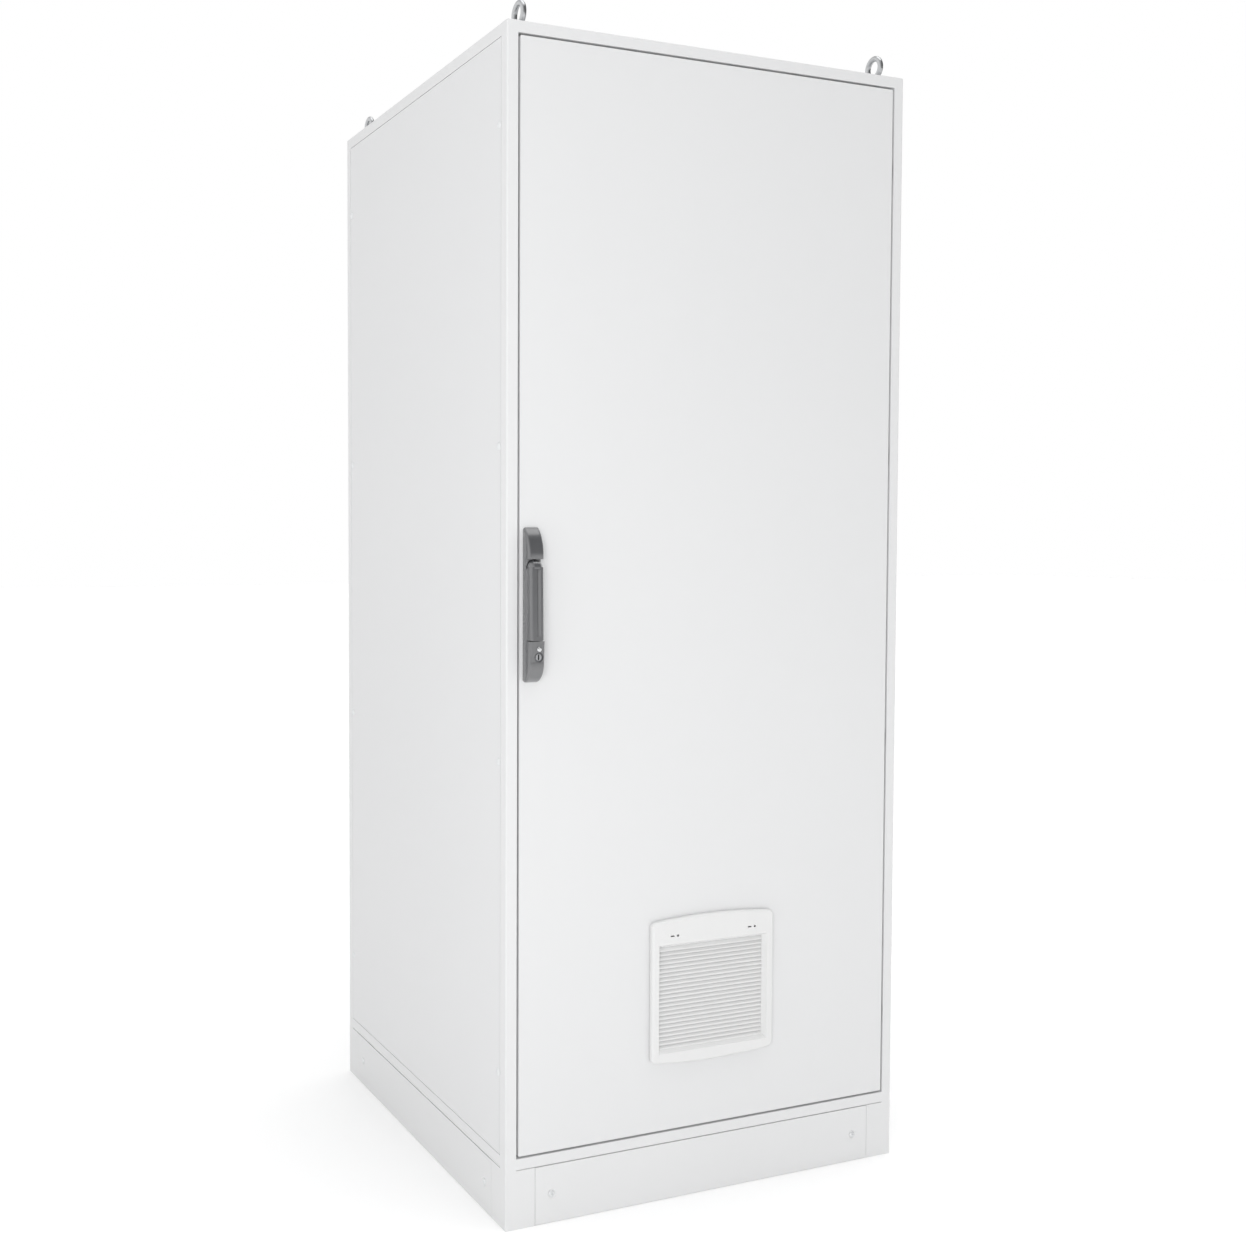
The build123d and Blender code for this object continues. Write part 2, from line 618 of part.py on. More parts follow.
def cover_screw(x, span_front):
    """Domed screw of a front cover, seated in its dimple."""
    seat = PLINTH_SHEET / 2
    length = 3 * PLINTH_SHEET
    head_height = COVER_HEAD / 4
    sphere = (COVER_HEAD ** 2 / 4 + head_height ** 2) / (2 * head_height)
    dome = Pos(0, 0, head_height - sphere) * Sphere(sphere)
    dome &= Pos(0, 0, head_height / 2) * Box(COVER_HEAD, COVER_HEAD, head_height)
    screw = dome + Pos(0, 0, -length / 2) * Cylinder(COVER_SCREW / 2, length)
    return Plane(origin=(x, span_front + seat, PLINTH_HEIGHT / 2), z_dir=(0, -1, 0)) * screw


def turned(shape, turns):
    return Rot(0, 0, 90 * turns) * shape


def plinth_cover_screws():
    x = HALF_WIDTH - COVER_SCREW_INSET
    y = HALF_DEPTH - COVER_SCREW_INSET
    front = [cover_screw(-x, -HALF_DEPTH), cover_screw(x, -HALF_DEPTH)]
    side = [turned(cover_screw(place, -HALF_WIDTH), 3) for place in (-y, y)]
    return front + [mirrored_y(s) for s in front] + side + [mirrored_x(s) for s in side]


def plinth_bolt():
    """Hexagon bolt from the plinth's head plate into the post above it."""
    head = RegularPolygon(PLINTH_BOLT_FLATS / 2, 6, major_radius=False)
    plate_under = PLINTH_HEIGHT - PLINTH_PLATE
    bolt = Pos(0, 0, plate_under - PLINTH_BOLT_HEAD) * extrude(head, PLINTH_BOLT_HEAD)
    top = PLINTH_HEIGHT + CORNER_BLOCK + 2
    bolt += rod_between("z", (0, 0), PLINTH_BOLT / 2, plate_under, top)
    return Pos(-HALF_WIDTH + EYE_INSET_X, FRONT + EYE_INSET_Y, 0) * bolt


# ---- door ----

def door_notch(z):
    """Opening in the door's fold that the frame half of a hinge turns through."""
    edge = HALF_WIDTH - DOOR_INSET
    half = HINGE_HEIGHT / 2 + NOTCH_PLAY
    inner = HINGE_X - HINGE_LEAF / 2 - NOTCH_SIDE
    return block(inner, edge + PAST, FRONT + DOOR_SHEET, FRONT + DOOR_DEPTH + PAST, *around(z, half))


def door_panel():
    """Door tray: flush skin, folded edges with a return lip, and every cut-out."""
    plane = Plane(origin=(0, FRONT, MIDDLE), x_dir=(1, 0, 0), z_dir=(0, -1, 0))
    height = BODY_HEIGHT - 2 * DOOR_INSET
    shell = plane * tray(DOOR_WIDTH, height, DOOR_DEPTH, DOOR_SHEET, DOOR_LIP)
    uprights = shell.edges().filter_by(Axis.Y).group_by(SortBy.LENGTH)[-1]
    corners = uprights.sort_by(lambda e: -abs(e.center().X) - abs(e.center().Z - MIDDLE))[0:4]
    shell = fillet(corners, DOOR_ROUND / 2)
    for z in HINGE_HEIGHTS:
        shell -= door_notch(z)
    vent = VENT_CUTOUT / 2
    skin = (FRONT - PAST, FRONT + DOOR_SHEET + PAST)
    shell -= block(-vent, vent, *skin, *around(VENT_CENTRE, vent))
    shell -= rod_between("y", (HANDLE_X, PIVOT_Z), SPINDLE_HOLE / 2, *skin)
    for z in (MIDDLE - HANDLE_SCREW_PITCH / 2, MIDDLE + HANDLE_SCREW_PITCH / 2):
        shell -= rod_between("y", (HANDLE_X, z), (HANDLE_SCREW + HOLE_CLEARANCE) / 2, *skin)
    half = ROD / 2 + ROD_PLAY
    for x, z in ((HANDLE_X - ROD_X, DOOR_TOP), (HANDLE_X + ROD_X, DOOR_BOTTOM)):
        shell -= block(*around(x, half), *around(ROD_Y, half), z - 2 * DOOR_SHEET, z + 2 * DOOR_SHEET)
    return shell


def door_gasket():
    """Foamed seal along the door's lip, just short of the frame's land."""
    half_x = HALF_WIDTH - GASKET_INSET
    half_z = BODY_HEIGHT / 2 - GASKET_INSET
    start = FRONT + DOOR_DEPTH
    end = FRONT + DOOR_LAND - GASKET_CLEARANCE
    outer = block(-half_x, half_x, start, end, *around(MIDDLE, half_z))
    half_x -= GASKET_WIDTH
    half_z -= GASKET_WIDTH
    return outer - block(-half_x, half_x, start - PAST, end + PAST, *around(MIDDLE, half_z))


def door_rail(side):
    """Upright stiffener of the door: a channel with its open face on the skin."""
    centre = side * (DOOR_WIDTH / 2 - RAIL_INSET)
    low, high = DOOR_BOTTOM + RAIL_END, DOOR_TOP - RAIL_END
    half = RAIL_WIDTH / 2
    start = FRONT + DOOR_SHEET
    rail = block(*around(centre, half), start, start + RAIL_DEPTH, low, high)
    inner = half - DOOR_SHEET
    floor = start + RAIL_DEPTH - DOOR_SHEET
    return rail - block(*around(centre, inner), start - PAST, floor, low - PAST, high + PAST)


def hinge_frame_leaf(z):
    """Frame half of a hinge: a foot on the land, a leaf through the door's notch and its knuckle."""
    half = HINGE_HEIGHT / 2
    side = HINGE_LEAF / 2
    land = FRONT + DOOR_LAND
    leaf = block(*around(HINGE_X, side), HINGE_Y, land, *around(z, half))
    leaf += block(HINGE_X - side, HINGE_X + HINGE_FOOT - side, land - HINGE_LEAF, land, *around(z, half))
    leaf += rod_between("z", (HINGE_X, HINGE_Y), HINGE_KNUCKLE, z - half, z + half)
    return leaf - rod_between("z", (HINGE_X, HINGE_Y), HINGE_PIN / 2, z - half - PAST, z + half + PAST)


def hinge_door_leaf(z):
    """Door half of a hinge: a plate on the skin and a knuckle above and below the frame's."""
    half = HINGE_HEIGHT / 2
    skin = FRONT + DOOR_SHEET
    outer = half + HINGE_RUN + HINGE_EAR
    edge = HINGE_X - HINGE_LEAF
    leaf = block(edge - HINGE_HEIGHT, edge, skin, skin + HINGE_PLATE, *around(z, outer))
    for low in (z - outer, z + half + HINGE_RUN):
        high = low + HINGE_EAR
        leaf += block(edge - HINGE_FOOT, HINGE_X, skin, HINGE_Y + HINGE_KNUCKLE / 2, low, high)
        leaf += rod_between("z", (HINGE_X, HINGE_Y), HINGE_KNUCKLE, low, high)
    bore = HINGE_PIN / 2 + PIN_PLAY
    return leaf - rod_between("z", (HINGE_X, HINGE_Y), bore, z - outer - PAST, z + outer + PAST)


def hinge_pin(z):
    reach = HINGE_HEIGHT / 2 + HINGE_RUN + HINGE_EAR + HINGE_PIN_END
    return rod_between("z", (HINGE_X, HINGE_Y), HINGE_PIN / 2, z - reach, z + reach)


# ---- swing handle ----

def handle_side(points):
    """Closed outline in the Y-Z plane from (out from the door, height) pairs joined in order."""
    return [(HANDLE_X, FRONT - out, z) for out, z in points]


def handle_body():
    """Solid outline of the handle's base: domed head, saddle under the lever, lock section."""
    foot = [(0, HANDLE_BOTTOM), (HANDLE_END_PROUD, HANDLE_BOTTOM)]
    chin = [(HANDLE_END_PROUD, HANDLE_BOTTOM), (LOCK_CHIN[1], HANDLE_BOTTOM + LOCK_CHIN[0]),
            (LOCK_NOSE[1], HANDLE_BOTTOM + LOCK_NOSE[0])]
    middle = [chin[-1], (HANDLE_PROUD, LOCK_HEAD), (SADDLE_HEIGHT, LOCK_HEAD),
              (SADDLE_HEIGHT, DOME_FOOT), (DOME_PROUD, DOME_FOOT)]
    crown = [middle[-1], (DOME_SHOULDER[1], HANDLE_TOP - DOME_SHOULDER[0]), (HANDLE_END_PROUD, HANDLE_TOP)]
    head = [crown[-1], (0, HANDLE_TOP), (0, HANDLE_BOTTOM)]
    outline = Wire([
        Polyline(*handle_side(foot)).edges()[0],
        ThreePointArc(*handle_side(chin)).edges()[0],
        *Polyline(*handle_side(middle)).edges(),
        ThreePointArc(*handle_side(crown)).edges()[0],
        *Polyline(*handle_side(head)).edges(),
    ])
    half = HANDLE_WIDTH / 2
    body = extrude(Face(outline), amount=half, dir=(1, 0, 0), both=True)
    long_edges = [e for e in body.edges()
                  if abs(abs(e.center().X - HANDLE_X) - half) < 0.01 and e.center().Y < FRONT - 0.01
                  and not (abs(e.center().Z - LOCK_HEAD) < 0.01 or abs(e.center().Z - DOME_FOOT) < 0.01)]
    return fillet(long_edges, HANDLE_ROUND)


def handle_base():
    """Handle base with its hub pocket, finger trough, and lock and button bores."""
    shape = handle_body()
    pocket = BALL_RADIUS + BALL_AIR
    shape -= rod_between("y", (HANDLE_X, PIVOT_Z), pocket, FRONT - SADDLE_HEIGHT - PAST, FRONT + PAST)
    half = FINGER_WIDTH / 2
    trough = (FRONT - SADDLE_HEIGHT - PAST, FRONT - FINGER_FLOOR)
    shape -= block(*around(HANDLE_X, half), *trough, LOCK_HEAD, PIVOT_Z)
    bore = CYLINDER_DIAMETER / 2 + CYLINDER_FIT
    face = FRONT - HANDLE_PROUD
    shape -= rod_between("y", (LOCK_X, KEY_Z), bore, face - PAST, FRONT - HANDLE_END_PROUD)
    bore = BUTTON_DIAMETER / 2 + PIN_PLAY
    depth = BUTTON_LENGTH + BUTTON_TRAVEL + LUG_AIR - BUTTON_PROUD
    shape -= rod_between("y", (LOCK_X, BUTTON_Z), bore, face - PAST, face + depth)
    for z in (MIDDLE - HANDLE_SCREW_PITCH / 2, MIDDLE + HANDLE_SCREW_PITCH / 2):
        bore = (HANDLE_SCREW + HOLE_CLEARANCE) / 2
        shape -= rod_between("y", (HANDLE_X, z), bore, FRONT - HANDLE_SCREW_BITE - PAST, FRONT + PAST)
    return shape


def handle_screw(z):
    """Screw that holds the handle's base from inside the door."""
    skin = FRONT + DOOR_SHEET
    diameter, height = HANDLE_SCREW_HEAD
    head = rod_between("y", (HANDLE_X, z), diameter / 2, skin, skin + height)
    return head + rod_between("y", (HANDLE_X, z), HANDLE_SCREW / 2, FRONT - HANDLE_SCREW_BITE, skin)


def handle_hub():
    """Turning hub: disc, square spindle to the gear and the lug that carries the lever."""
    disc_front = FRONT - HUB_AIR - HUB_DISC
    hub = rod_between("y", (HANDLE_X, PIVOT_Z), BALL_RADIUS + BALL_AIR - HUB_AIR, disc_front, FRONT - HUB_AIR)
    half = SPINDLE_SQUARE / 2
    back = FRONT + DOOR_SHEET + CASE_DEPTH - CASE_WALL
    hub += block(*around(HANDLE_X, half), FRONT - HUB_AIR, back, *around(PIVOT_Z, half))
    side = LUG_WIDTH / 2
    hub += block(*around(HANDLE_X, side), PIVOT_Y, disc_front, *around(PIVOT_Z, LUG_ROUND))
    hub += rod_between("x", (PIVOT_Y, PIVOT_Z), LUG_ROUND, HANDLE_X - side, HANDLE_X + side)
    return hub - rod_between("x", (PIVOT_Y, PIVOT_Z), PIVOT_PIN / 2, *around(HANDLE_X, side + PAST))


def lever_pin():
    reach = LEVER_WIDTH / 2 - PIVOT_PIN_INSET
    return rod_between("x", (PIVOT_Y, PIVOT_Z), PIVOT_PIN / 2, HANDLE_X - reach, HANDLE_X + reach)


def lever_head():
    """Head about the lever's pivot: a roller across the lever with ball-shaped ends."""
    half = LEVER_WIDTH / 2
    flat = sqrt(BALL_RADIUS ** 2 - HEAD_RADIUS ** 2)
    rim = sqrt(BALL_RADIUS ** 2 - half ** 2)
    between = (flat + half) / 2
    bulge = sqrt(BALL_RADIUS ** 2 - between ** 2)
    ends = Polyline((half, rim), (half, 0), (-half, 0), (-half, rim)).edges()
    left = ThreePointArc((-half, rim), (-between, bulge), (-flat, HEAD_RADIUS))
    right = ThreePointArc((flat, HEAD_RADIUS), (between, bulge), (half, rim))
    profile = Face(Wire([*ends, left, Line((-flat, HEAD_RADIUS), (flat, HEAD_RADIUS)), right]))
    return Pos(HANDLE_X, PIVOT_Y, PIVOT_Z) * revolve(profile, axis=Axis.X)


def lever_groove(bottom, top):
    """Groove along the grip's face between two points of it: a steep wall and a slope up to the right."""
    rise = Vector(0, top[0] - bottom[0], top[1] - bottom[1])
    face = Plane(origin=(HANDLE_X, *bottom), x_dir=(1, 0, 0), z_dir=rise)
    wall, slope = GROOVE_SIDES
    wedge = Polygon((wall, -PAST), (slope, -PAST), (slope, 0), (wall, GROOVE_DEPTH), align=None)
    low, high = PAST + GROOVE_ENDS[0], rise.length - GROOVE_ENDS[1]
    return face * Pos(0, 0, low) * extrude(wedge, high - low)


def handle_lever():
    """Swing lever: round head about its pivot, long grip with a groove, end turned to an arc."""
    half = LEVER_WIDTH / 2
    back = FRONT - SADDLE_HEIGHT - LEVER_BACK
    front_top = PIVOT_Y - HEAD_RADIUS + HEAD_STEP
    front_end = FRONT - HANDLE_PROUD
    end = PIVOT_Z - LEVER_REACH - PAST
    side = Polyline((HANDLE_X, back, PIVOT_Z), (HANDLE_X, back, end), (HANDLE_X, front_end, end),
                    (HANDLE_X, front_top, PIVOT_Z), close=True)
    grip = extrude(Face(Wire(side.edges())), amount=half, dir=(1, 0, 0), both=True)
    face_edges = [e for e in grip.faces().sort_by(Axis.Y)[0].edges()
                  if end + BALL_RADIUS < e.center().Z < PIVOT_Z - BALL_RADIUS]
    grip = fillet(face_edges, LEVER_ROUND)
    grip &= rod_between("y", (HANDLE_X, PIVOT_Z), LEVER_REACH, FRONT - 2 * HANDLE_PROUD, FRONT)
    lever = grip + lever_head()
    slot = LUG_WIDTH / 2 + LUG_AIR
    round_slot = LUG_ROUND + LUG_AIR
    lever -= rod_between("x", (PIVOT_Y, PIVOT_Z), round_slot, HANDLE_X - slot, HANDLE_X + slot)
    deep = PIVOT_Y + 2 * BALL_RADIUS
    lever -= block(*around(HANDLE_X, slot), PIVOT_Y, deep, PIVOT_Z - round_slot, PIVOT_Z + PAST)
    swing = LUG_ROUND * sin(radians(LEVER_LIFT)) + LUG_AIR
    lever -= block(*around(HANDLE_X, slot), PIVOT_Y - swing, deep, PIVOT_Z, PIVOT_Z + 2 * BALL_RADIUS)
    bore = PIVOT_PIN / 2 + PIN_PLAY
    lever -= rod_between("x", (PIVOT_Y, PIVOT_Z), bore, HANDLE_X - half - PAST, HANDLE_X + half + PAST)
    return lever - lever_groove((front_end, end), (front_top, PIVOT_Z))


def lock_cylinder():
    """Barrel of the key lock, seated in the lock section."""
    face = FRONT - CYLINDER_FACE
    barrel = rod_between("y", (LOCK_X, KEY_Z), CYLINDER_DIAMETER / 2, face, FRONT - HANDLE_END_PROUD)
    bore = PLUG_DIAMETER / 2 + PIN_PLAY
    depth = PLUG_LENGTH - PLUG_PROUD + LUG_AIR
    return barrel - rod_between("y", (LOCK_X, KEY_Z), bore, face - PAST, face + depth)


def key_plug():
    """Turning plug with its upright keyway."""
    face = FRONT - CYLINDER_FACE - PLUG_PROUD
    plug = rod_between("y", (LOCK_X, KEY_Z), PLUG_DIAMETER / 2, face, face + PLUG_LENGTH)
    width, tall, deep = KEYWAY
    return plug - block(*around(LOCK_X, width / 2), face - PAST, face + deep, *around(KEY_Z, tall / 2))


def release_button():
    """Push button that frees the lever."""
    face = FRONT - HANDLE_PROUD - BUTTON_PROUD
    button = rod_between("y", (LOCK_X, BUTTON_Z), BUTTON_DIAMETER / 2, face, face + BUTTON_LENGTH)
    return fillet(button.edges().sort_by(Axis.Y)[0], BUTTON_ROUND)


# ---- rod lock ----

def involute(angle):
    return tan(angle) - angle


def tooth_half_angle(radius):
    """Half the angle that a pinion tooth spans at a radius."""
    pressure = radians(PRESSURE_ANGLE)
    at_pitch = (pi * GEAR_MODULE / 2 - BACKLASH) / 2 / GEAR_RADIUS
    at_radius = acos(min(1.0, GEAR_RADIUS * cos(pressure) / radius))
    return at_pitch + involute(pressure) - involute(at_radius)


def pinion_outline():
    """Outline of the toothed wheel in X and Y, one tooth pointing along +X."""
    base = GEAR_RADIUS * cos(radians(PRESSURE_ANGLE))
    tip = GEAR_RADIUS + GEAR_ADDENDUM
    flank = [(GEAR_RADIUS - RACK_ADDENDUM - ROOT_CLEARANCE, tooth_half_angle(base))]
    steps = 4
    for step in range(steps + 1):
        radius = base + (tip - base) * step / steps
        flank.append((radius, tooth_half_angle(radius)))
    points = []
    for tooth in range(GEAR_TEETH):
        middle = 2 * pi * tooth / GEAR_TEETH
        outward = [(radius, middle - half) for radius, half in flank]
        inward = [(radius, middle + half) for radius, half in reversed(flank)]
        points += [(radius * cos(angle), radius * sin(angle)) for radius, angle in outward + inward]
    return points


def drive_pinion():
    """Toothed wheel on the handle's square, its round journals running in the case."""
    wheel = Face(Wire(Polyline(*pinion_outline(), close=True).edges()))
    middle = Plane(origin=(HANDLE_X, ROD_Y, PIVOT_Z), x_dir=(1, 0, 0), z_dir=(0, -1, 0))
    pinion = middle * Pos(0, 0, -GEAR_WIDTH / 2) * extrude(wheel, GEAR_WIDTH, dir=(0, 0, 1))
    start = FRONT + DOOR_SHEET + LUG_AIR
    end = FRONT + DOOR_SHEET + CASE_DEPTH
    pinion += rod_between("y", (HANDLE_X, PIVOT_Z), JOURNAL / 2, start, end)
    half = SPINDLE_SQUARE / 2 + SQUARE_PLAY
    return pinion - block(*around(HANDLE_X, half), start - PAST, end + PAST, *around(PIVOT_Z, half))


def rack_tooth(side, z):
    """Straight-sided tooth on the rod's inner face, pointing at the pinion."""
    tip = GEAR_RADIUS - RACK_ADDENDUM
    root = GEAR_RADIUS + RACK_ROOT
    slope = tan(radians(PRESSURE_ANGLE))
    at_pitch = (pi * GEAR_MODULE / 2 - BACKLASH) / 2
    at_tip = at_pitch - RACK_ADDENDUM * slope
    at_root = at_pitch + RACK_ROOT * slope
    corners = [(tip, -at_tip), (tip, at_tip), (root, at_root), (root + 1, at_root), (root + 1, -at_root),
               (root, -at_root)]
    outline = [(HANDLE_X + side * out, ROD_Y + ROD / 2, z + up) for out, up in corners]
    face = Face(Wire(Polyline(*outline, close=True).edges()))
    return extrude(face, amount=ROD, dir=(0, -1, 0))


def lock_rod(side, end, way):
    """Square rod from the case to the door's end, toothed over its travel; way is +1 upwards."""
    pitch = pi * GEAR_MODULE
    tail = PIVOT_Z - way * (pitch / 2 + RACK_END)
    low, high = sorted((tail, end))
    x = HANDLE_X + side * ROD_X
    rod = block(*around(x, ROD / 2), *around(ROD_Y, ROD / 2), low, high)
    tip = [e for e in rod.edges() if abs(e.center().Z - end) < 0.01]
    rod = chamfer(tip, ROD_TIP_TAPER / 2)
    for tooth in range(RACK_TEETH):
        rod += rack_tooth(side, PIVOT_Z + way * pitch * (tooth - 0.5))
    return rod


def upper_rod():
    return lock_rod(-1, HEIGHT - NOSE_FRONT - ROD_TIP_AIR, 1)


def lower_rod():
    return lock_rod(1, PLINTH_HEIGHT + NOSE_FRONT + ROD_TIP_AIR, -1)


def gearbox_case():
    """Case of the rod lock, seated on the door's skin, open above and below for the rods."""
    half = ROD_X + ROD / 2 + ROD_PLAY + CASE_WALL
    start = FRONT + DOOR_SHEET
    end = start + CASE_DEPTH
    low, high = PIVOT_Z - CASE_HALF_HEIGHT, PIVOT_Z + CASE_HALF_HEIGHT
    wall = CASE_WALL
    case = block(*around(HANDLE_X, half), start, end, low, high)
    case -= block(*around(HANDLE_X, half - wall), start + wall, end - wall, low + wall, high - wall)
    opening = ROD / 2 + ROD_PLAY
    for side, z in ((-1, high), (1, low)):
        x = HANDLE_X + side * ROD_X
        case -= block(*around(x, opening), *around(ROD_Y, opening), z - 2 * wall, z + 2 * wall)
    bore = JOURNAL / 2 + PIN_PLAY
    return case - rod_between("y", (HANDLE_X, PIVOT_Z), bore, start - PAST, end + PAST)


def rod_guide(side, z):
    """Guide on the door's skin that a rod slides through."""
    x = HANDLE_X + side * ROD_X
    inner = ROD / 2 + ROD_PLAY
    outer = inner + GUIDE_WALL
    low, high = z - GUIDE_HEIGHT / 2, z + GUIDE_HEIGHT / 2
    guide = block(*around(x, outer), FRONT + DOOR_SHEET, ROD_Y + outer, low, high)
    return guide - block(*around(x, inner), *around(ROD_Y, inner), low - PAST, high + PAST)


def rod_guides():
    upper = [rod_guide(-1, DOOR_TOP - setback) for setback in GUIDE_SETBACKS]
    return upper + [rod_guide(1, DOOR_BOTTOM + setback) for setback in GUIDE_SETBACKS]


# ---- air inlet ----

def vent_outline(inset, height):
    """Slab of the inlet's outline, square with its top and bottom bowed out, from Y = 0 to the front."""
    half_x = VENT_WIDTH / 2 - inset
    half_z = VENT_HEIGHT / 2 - inset
    bowed = half_z + VENT_BOW
    corners = [(-half_x, 0, -half_z), (-half_x, 0, half_z), (half_x, 0, half_z), (half_x, 0, -half_z)]
    edges = [Line(corners[0], corners[1]), ThreePointArc(corners[1], (0, 0, bowed), corners[2]),
             Line(corners[2], corners[3]), ThreePointArc(corners[3], (0, 0, -bowed), corners[0])]
    face = Face(Wire([edge.edges()[0] for edge in edges]))
    slab = extrude(face, amount=height, dir=(0, -1, 0))
    slab = fillet(slab.edges().filter_by(Axis.Y), VENT_CORNER - inset)
    return Pos(0, 0, VENT_CENTRE) * slab


def vent_housing():
    """Housing in the door's cut-out: outer flange, tube with a guard of bars, and the hinge lugs."""
    housing = Pos(0, FRONT, 0) * vent_outline(VENT_FLANGE_INSET, VENT_FLANGE)
    outer = VENT_CUTOUT / 2 - HOUSING_PLAY
    inner = outer - HOUSING_WALL
    start, end = FRONT - VENT_FLANGE, FRONT - VENT_FLANGE + HOUSING_DEPTH
    low, high = VENT_CENTRE - outer, VENT_CENTRE + outer
    housing += block(-outer, outer, start, end, low, high)
    housing -= block(-inner, inner, start - PAST, end + PAST, *around(VENT_CENTRE, inner))
    spacing = 2 * inner / (GUARD_BARS + 1)
    half = GUARD_BAR / 2
    for number in range(1, GUARD_BARS + 1):
        place = number * spacing - inner
        housing += block(*around(place, half), end - GUARD_BAR, end, low + PAST, high - PAST)
        housing += block(1 - outer, outer - PAST, end - GUARD_BAR, end, *around(VENT_CENTRE + place, half))
    for x in (-COVER_HINGE_X, COVER_HINGE_X):
        housing += vent_lug(x)
    return housing


def vent_lug(x):
    """Lug that carries a hinge pin of the cover."""
    half = COVER_LUG / 2
    top = COVER_HINGE_Z + COVER_LUG_ROUND
    low = COVER_HINGE_Z - COVER_LUG_ROUND
    lug = block(*around(x, half), COVER_HINGE_Y, FRONT, low, top)
    lug += rod_between("x", (COVER_HINGE_Y, COVER_HINGE_Z), COVER_LUG_ROUND, x - half, x + half)
    lug += block(*around(x, half), FRONT - VENT_FLANGE, FRONT, low, top + COVER_LUG_TAB)
    return lug - rod_between("x", (COVER_HINGE_Y, COVER_HINGE_Z), COVER_PIN / 2, *around(x, half + PAST))


def vent_hinge_pin(x):
    half = COVER_PIN_LENGTH / 2
    return rod_between("x", (COVER_HINGE_Y, COVER_HINGE_Z), COVER_PIN / 2, x - half, x + half)


def filter_mat():
    """Filter mat resting against the guard bars."""
    half = VENT_CUTOUT / 2 - HOUSING_PLAY - HOUSING_WALL - FILTER_PLAY
    end = FRONT - VENT_FLANGE + HOUSING_DEPTH - GUARD_BAR
    return block(-half, half, end - FILTER_THICK, end, *around(VENT_CENTRE, half))


def recess(wall, start, end):
    """Splayed mouth and straight window of the cover between two depths, its walls moved out by wall."""
    sections = []
    for depth in (start, FIELD_RECESS):
        run = FIELD_SPLAY * depth / FIELD_RECESS - wall
        origin = (0, VENT_FACE - COVER_THICK + depth, VENT_CENTRE + FIELD_RISE)
        plane = Plane(origin=origin, x_dir=(1, 0, 0), z_dir=(0, -1, 0))
        sections.append(plane * Rectangle(FIELD_WIDTH - 2 * run, FIELD_HEIGHT - 2 * run))
    face = VENT_FACE - COVER_THICK
    half_x = FIELD_WIDTH / 2 - FIELD_SPLAY + wall
    half_z = FIELD_HEIGHT / 2 - FIELD_SPLAY + wall
    middle = VENT_CENTRE + FIELD_RISE
    window = block(-half_x, half_x, face + FIELD_RECESS, face + end, *around(middle, half_z))
    return loft(sections) + window


def slat(z):
    """One raked slat across the cover's window, its front edge the lower one."""
    rise = SLAT_DEPTH * tan(radians(SLAT_RAKE))
    thick = SLAT_SHEET / cos(radians(SLAT_RAKE))
    front = VENT_FACE - COVER_THICK + FIELD_RECESS
    back = front + SLAT_DEPTH
    half = FIELD_WIDTH / 2 - FIELD_SPLAY + FIELD_WALL / 2
    low = z - (rise + thick) / 2
    outline = [(-half, front, low), (-half, front, low + thick), (-half, back, low + rise + thick),
               (-half, back, low + rise)]
    face = Face(Wire(Polyline(*outline, close=True).edges()))
    return extrude(face, amount=2 * half, dir=(1, 0, 0))


def vent_cover():
    """Louvred cover, hinged along its lower edge."""
    face = VENT_FACE - COVER_THICK
    cover = Pos(0, VENT_FACE, 0) * vent_outline(0, COVER_THICK)
    cover = fillet(cover.faces().sort_by(Axis.Y)[0].edges(), COVER_EDGE)
    hollow_out = Pos(0, VENT_FACE, 0) * vent_outline(COVER_RIM, COVER_THICK - COVER_SKIN)
    cover -= hollow_out
    deep = FIELD_RECESS + SLAT_DEPTH
    cover += recess(FIELD_WALL, COVER_SKIN / 2, deep)
    cover -= recess(0, -PAST, deep + PAST)
    middle = VENT_CENTRE + FIELD_RISE
    half_z = FIELD_HEIGHT / 2 - FIELD_SPLAY
    count = int(2 * half_z / SLAT_PITCH)
    for number in range(count):
        cover += slat(middle + SLAT_PITCH * (number - (count - 1) / 2))
    for number in range(1, RIB_COUNT + 1):
        x = FIELD_WIDTH * (number / (RIB_COUNT + 1) - 0.5)
        span = around(middle, half_z + FIELD_WALL / 2)
        cover += block(*around(x, RIB_WIDTH / 2), face + deep - RIB_DEPTH, face + deep, *span)
    release_z = VENT_CENTRE + RELEASE_RISE
    wide, tall = RELEASE_SLOT
    for x in RELEASE_SLOTS:
        cover -= block(*around(x, wide / 2), face - PAST, VENT_FACE, *around(release_z, tall / 2))
    for x in RELEASE_HOLES:
        cover -= rod_between("y", (x, release_z), RELEASE_HOLE / 2, face - PAST, VENT_FACE)
    return hinged_edge(cover)


def hinged_edge(cover):
    """Lower edge turned to a round nose about the hinge line, notched for the lugs and bored for the pins."""
    half = VENT_WIDTH / 2 + 1
    line = (COVER_HINGE_Y, COVER_HINGE_Z)
    lowest = COVER_HINGE_Z - VENT_BOW
    below = block(-half, half, VENT_FACE - 2 * COVER_THICK, VENT_FACE + PAST, lowest, COVER_HINGE_Z)
    cover -= below - rod_between("x", line, COVER_NOSE, -half - PAST, half + PAST)
    room = COVER_LUG / 2 + LUG_AIR
    clear = COVER_LUG_ROUND + LUG_AIR
    pin = COVER_PIN_LENGTH / 2 + LUG_AIR
    for x in (-COVER_HINGE_X, COVER_HINGE_X):
        start = COVER_HINGE_Y - clear
        cover -= block(*around(x, room), start, VENT_FACE + PAST, lowest, COVER_HINGE_Z + clear)
        cover -= rod_between("x", line, COVER_PIN / 2 + PIN_PLAY, x - pin, x + pin)
    return cover


# ---- inside ----

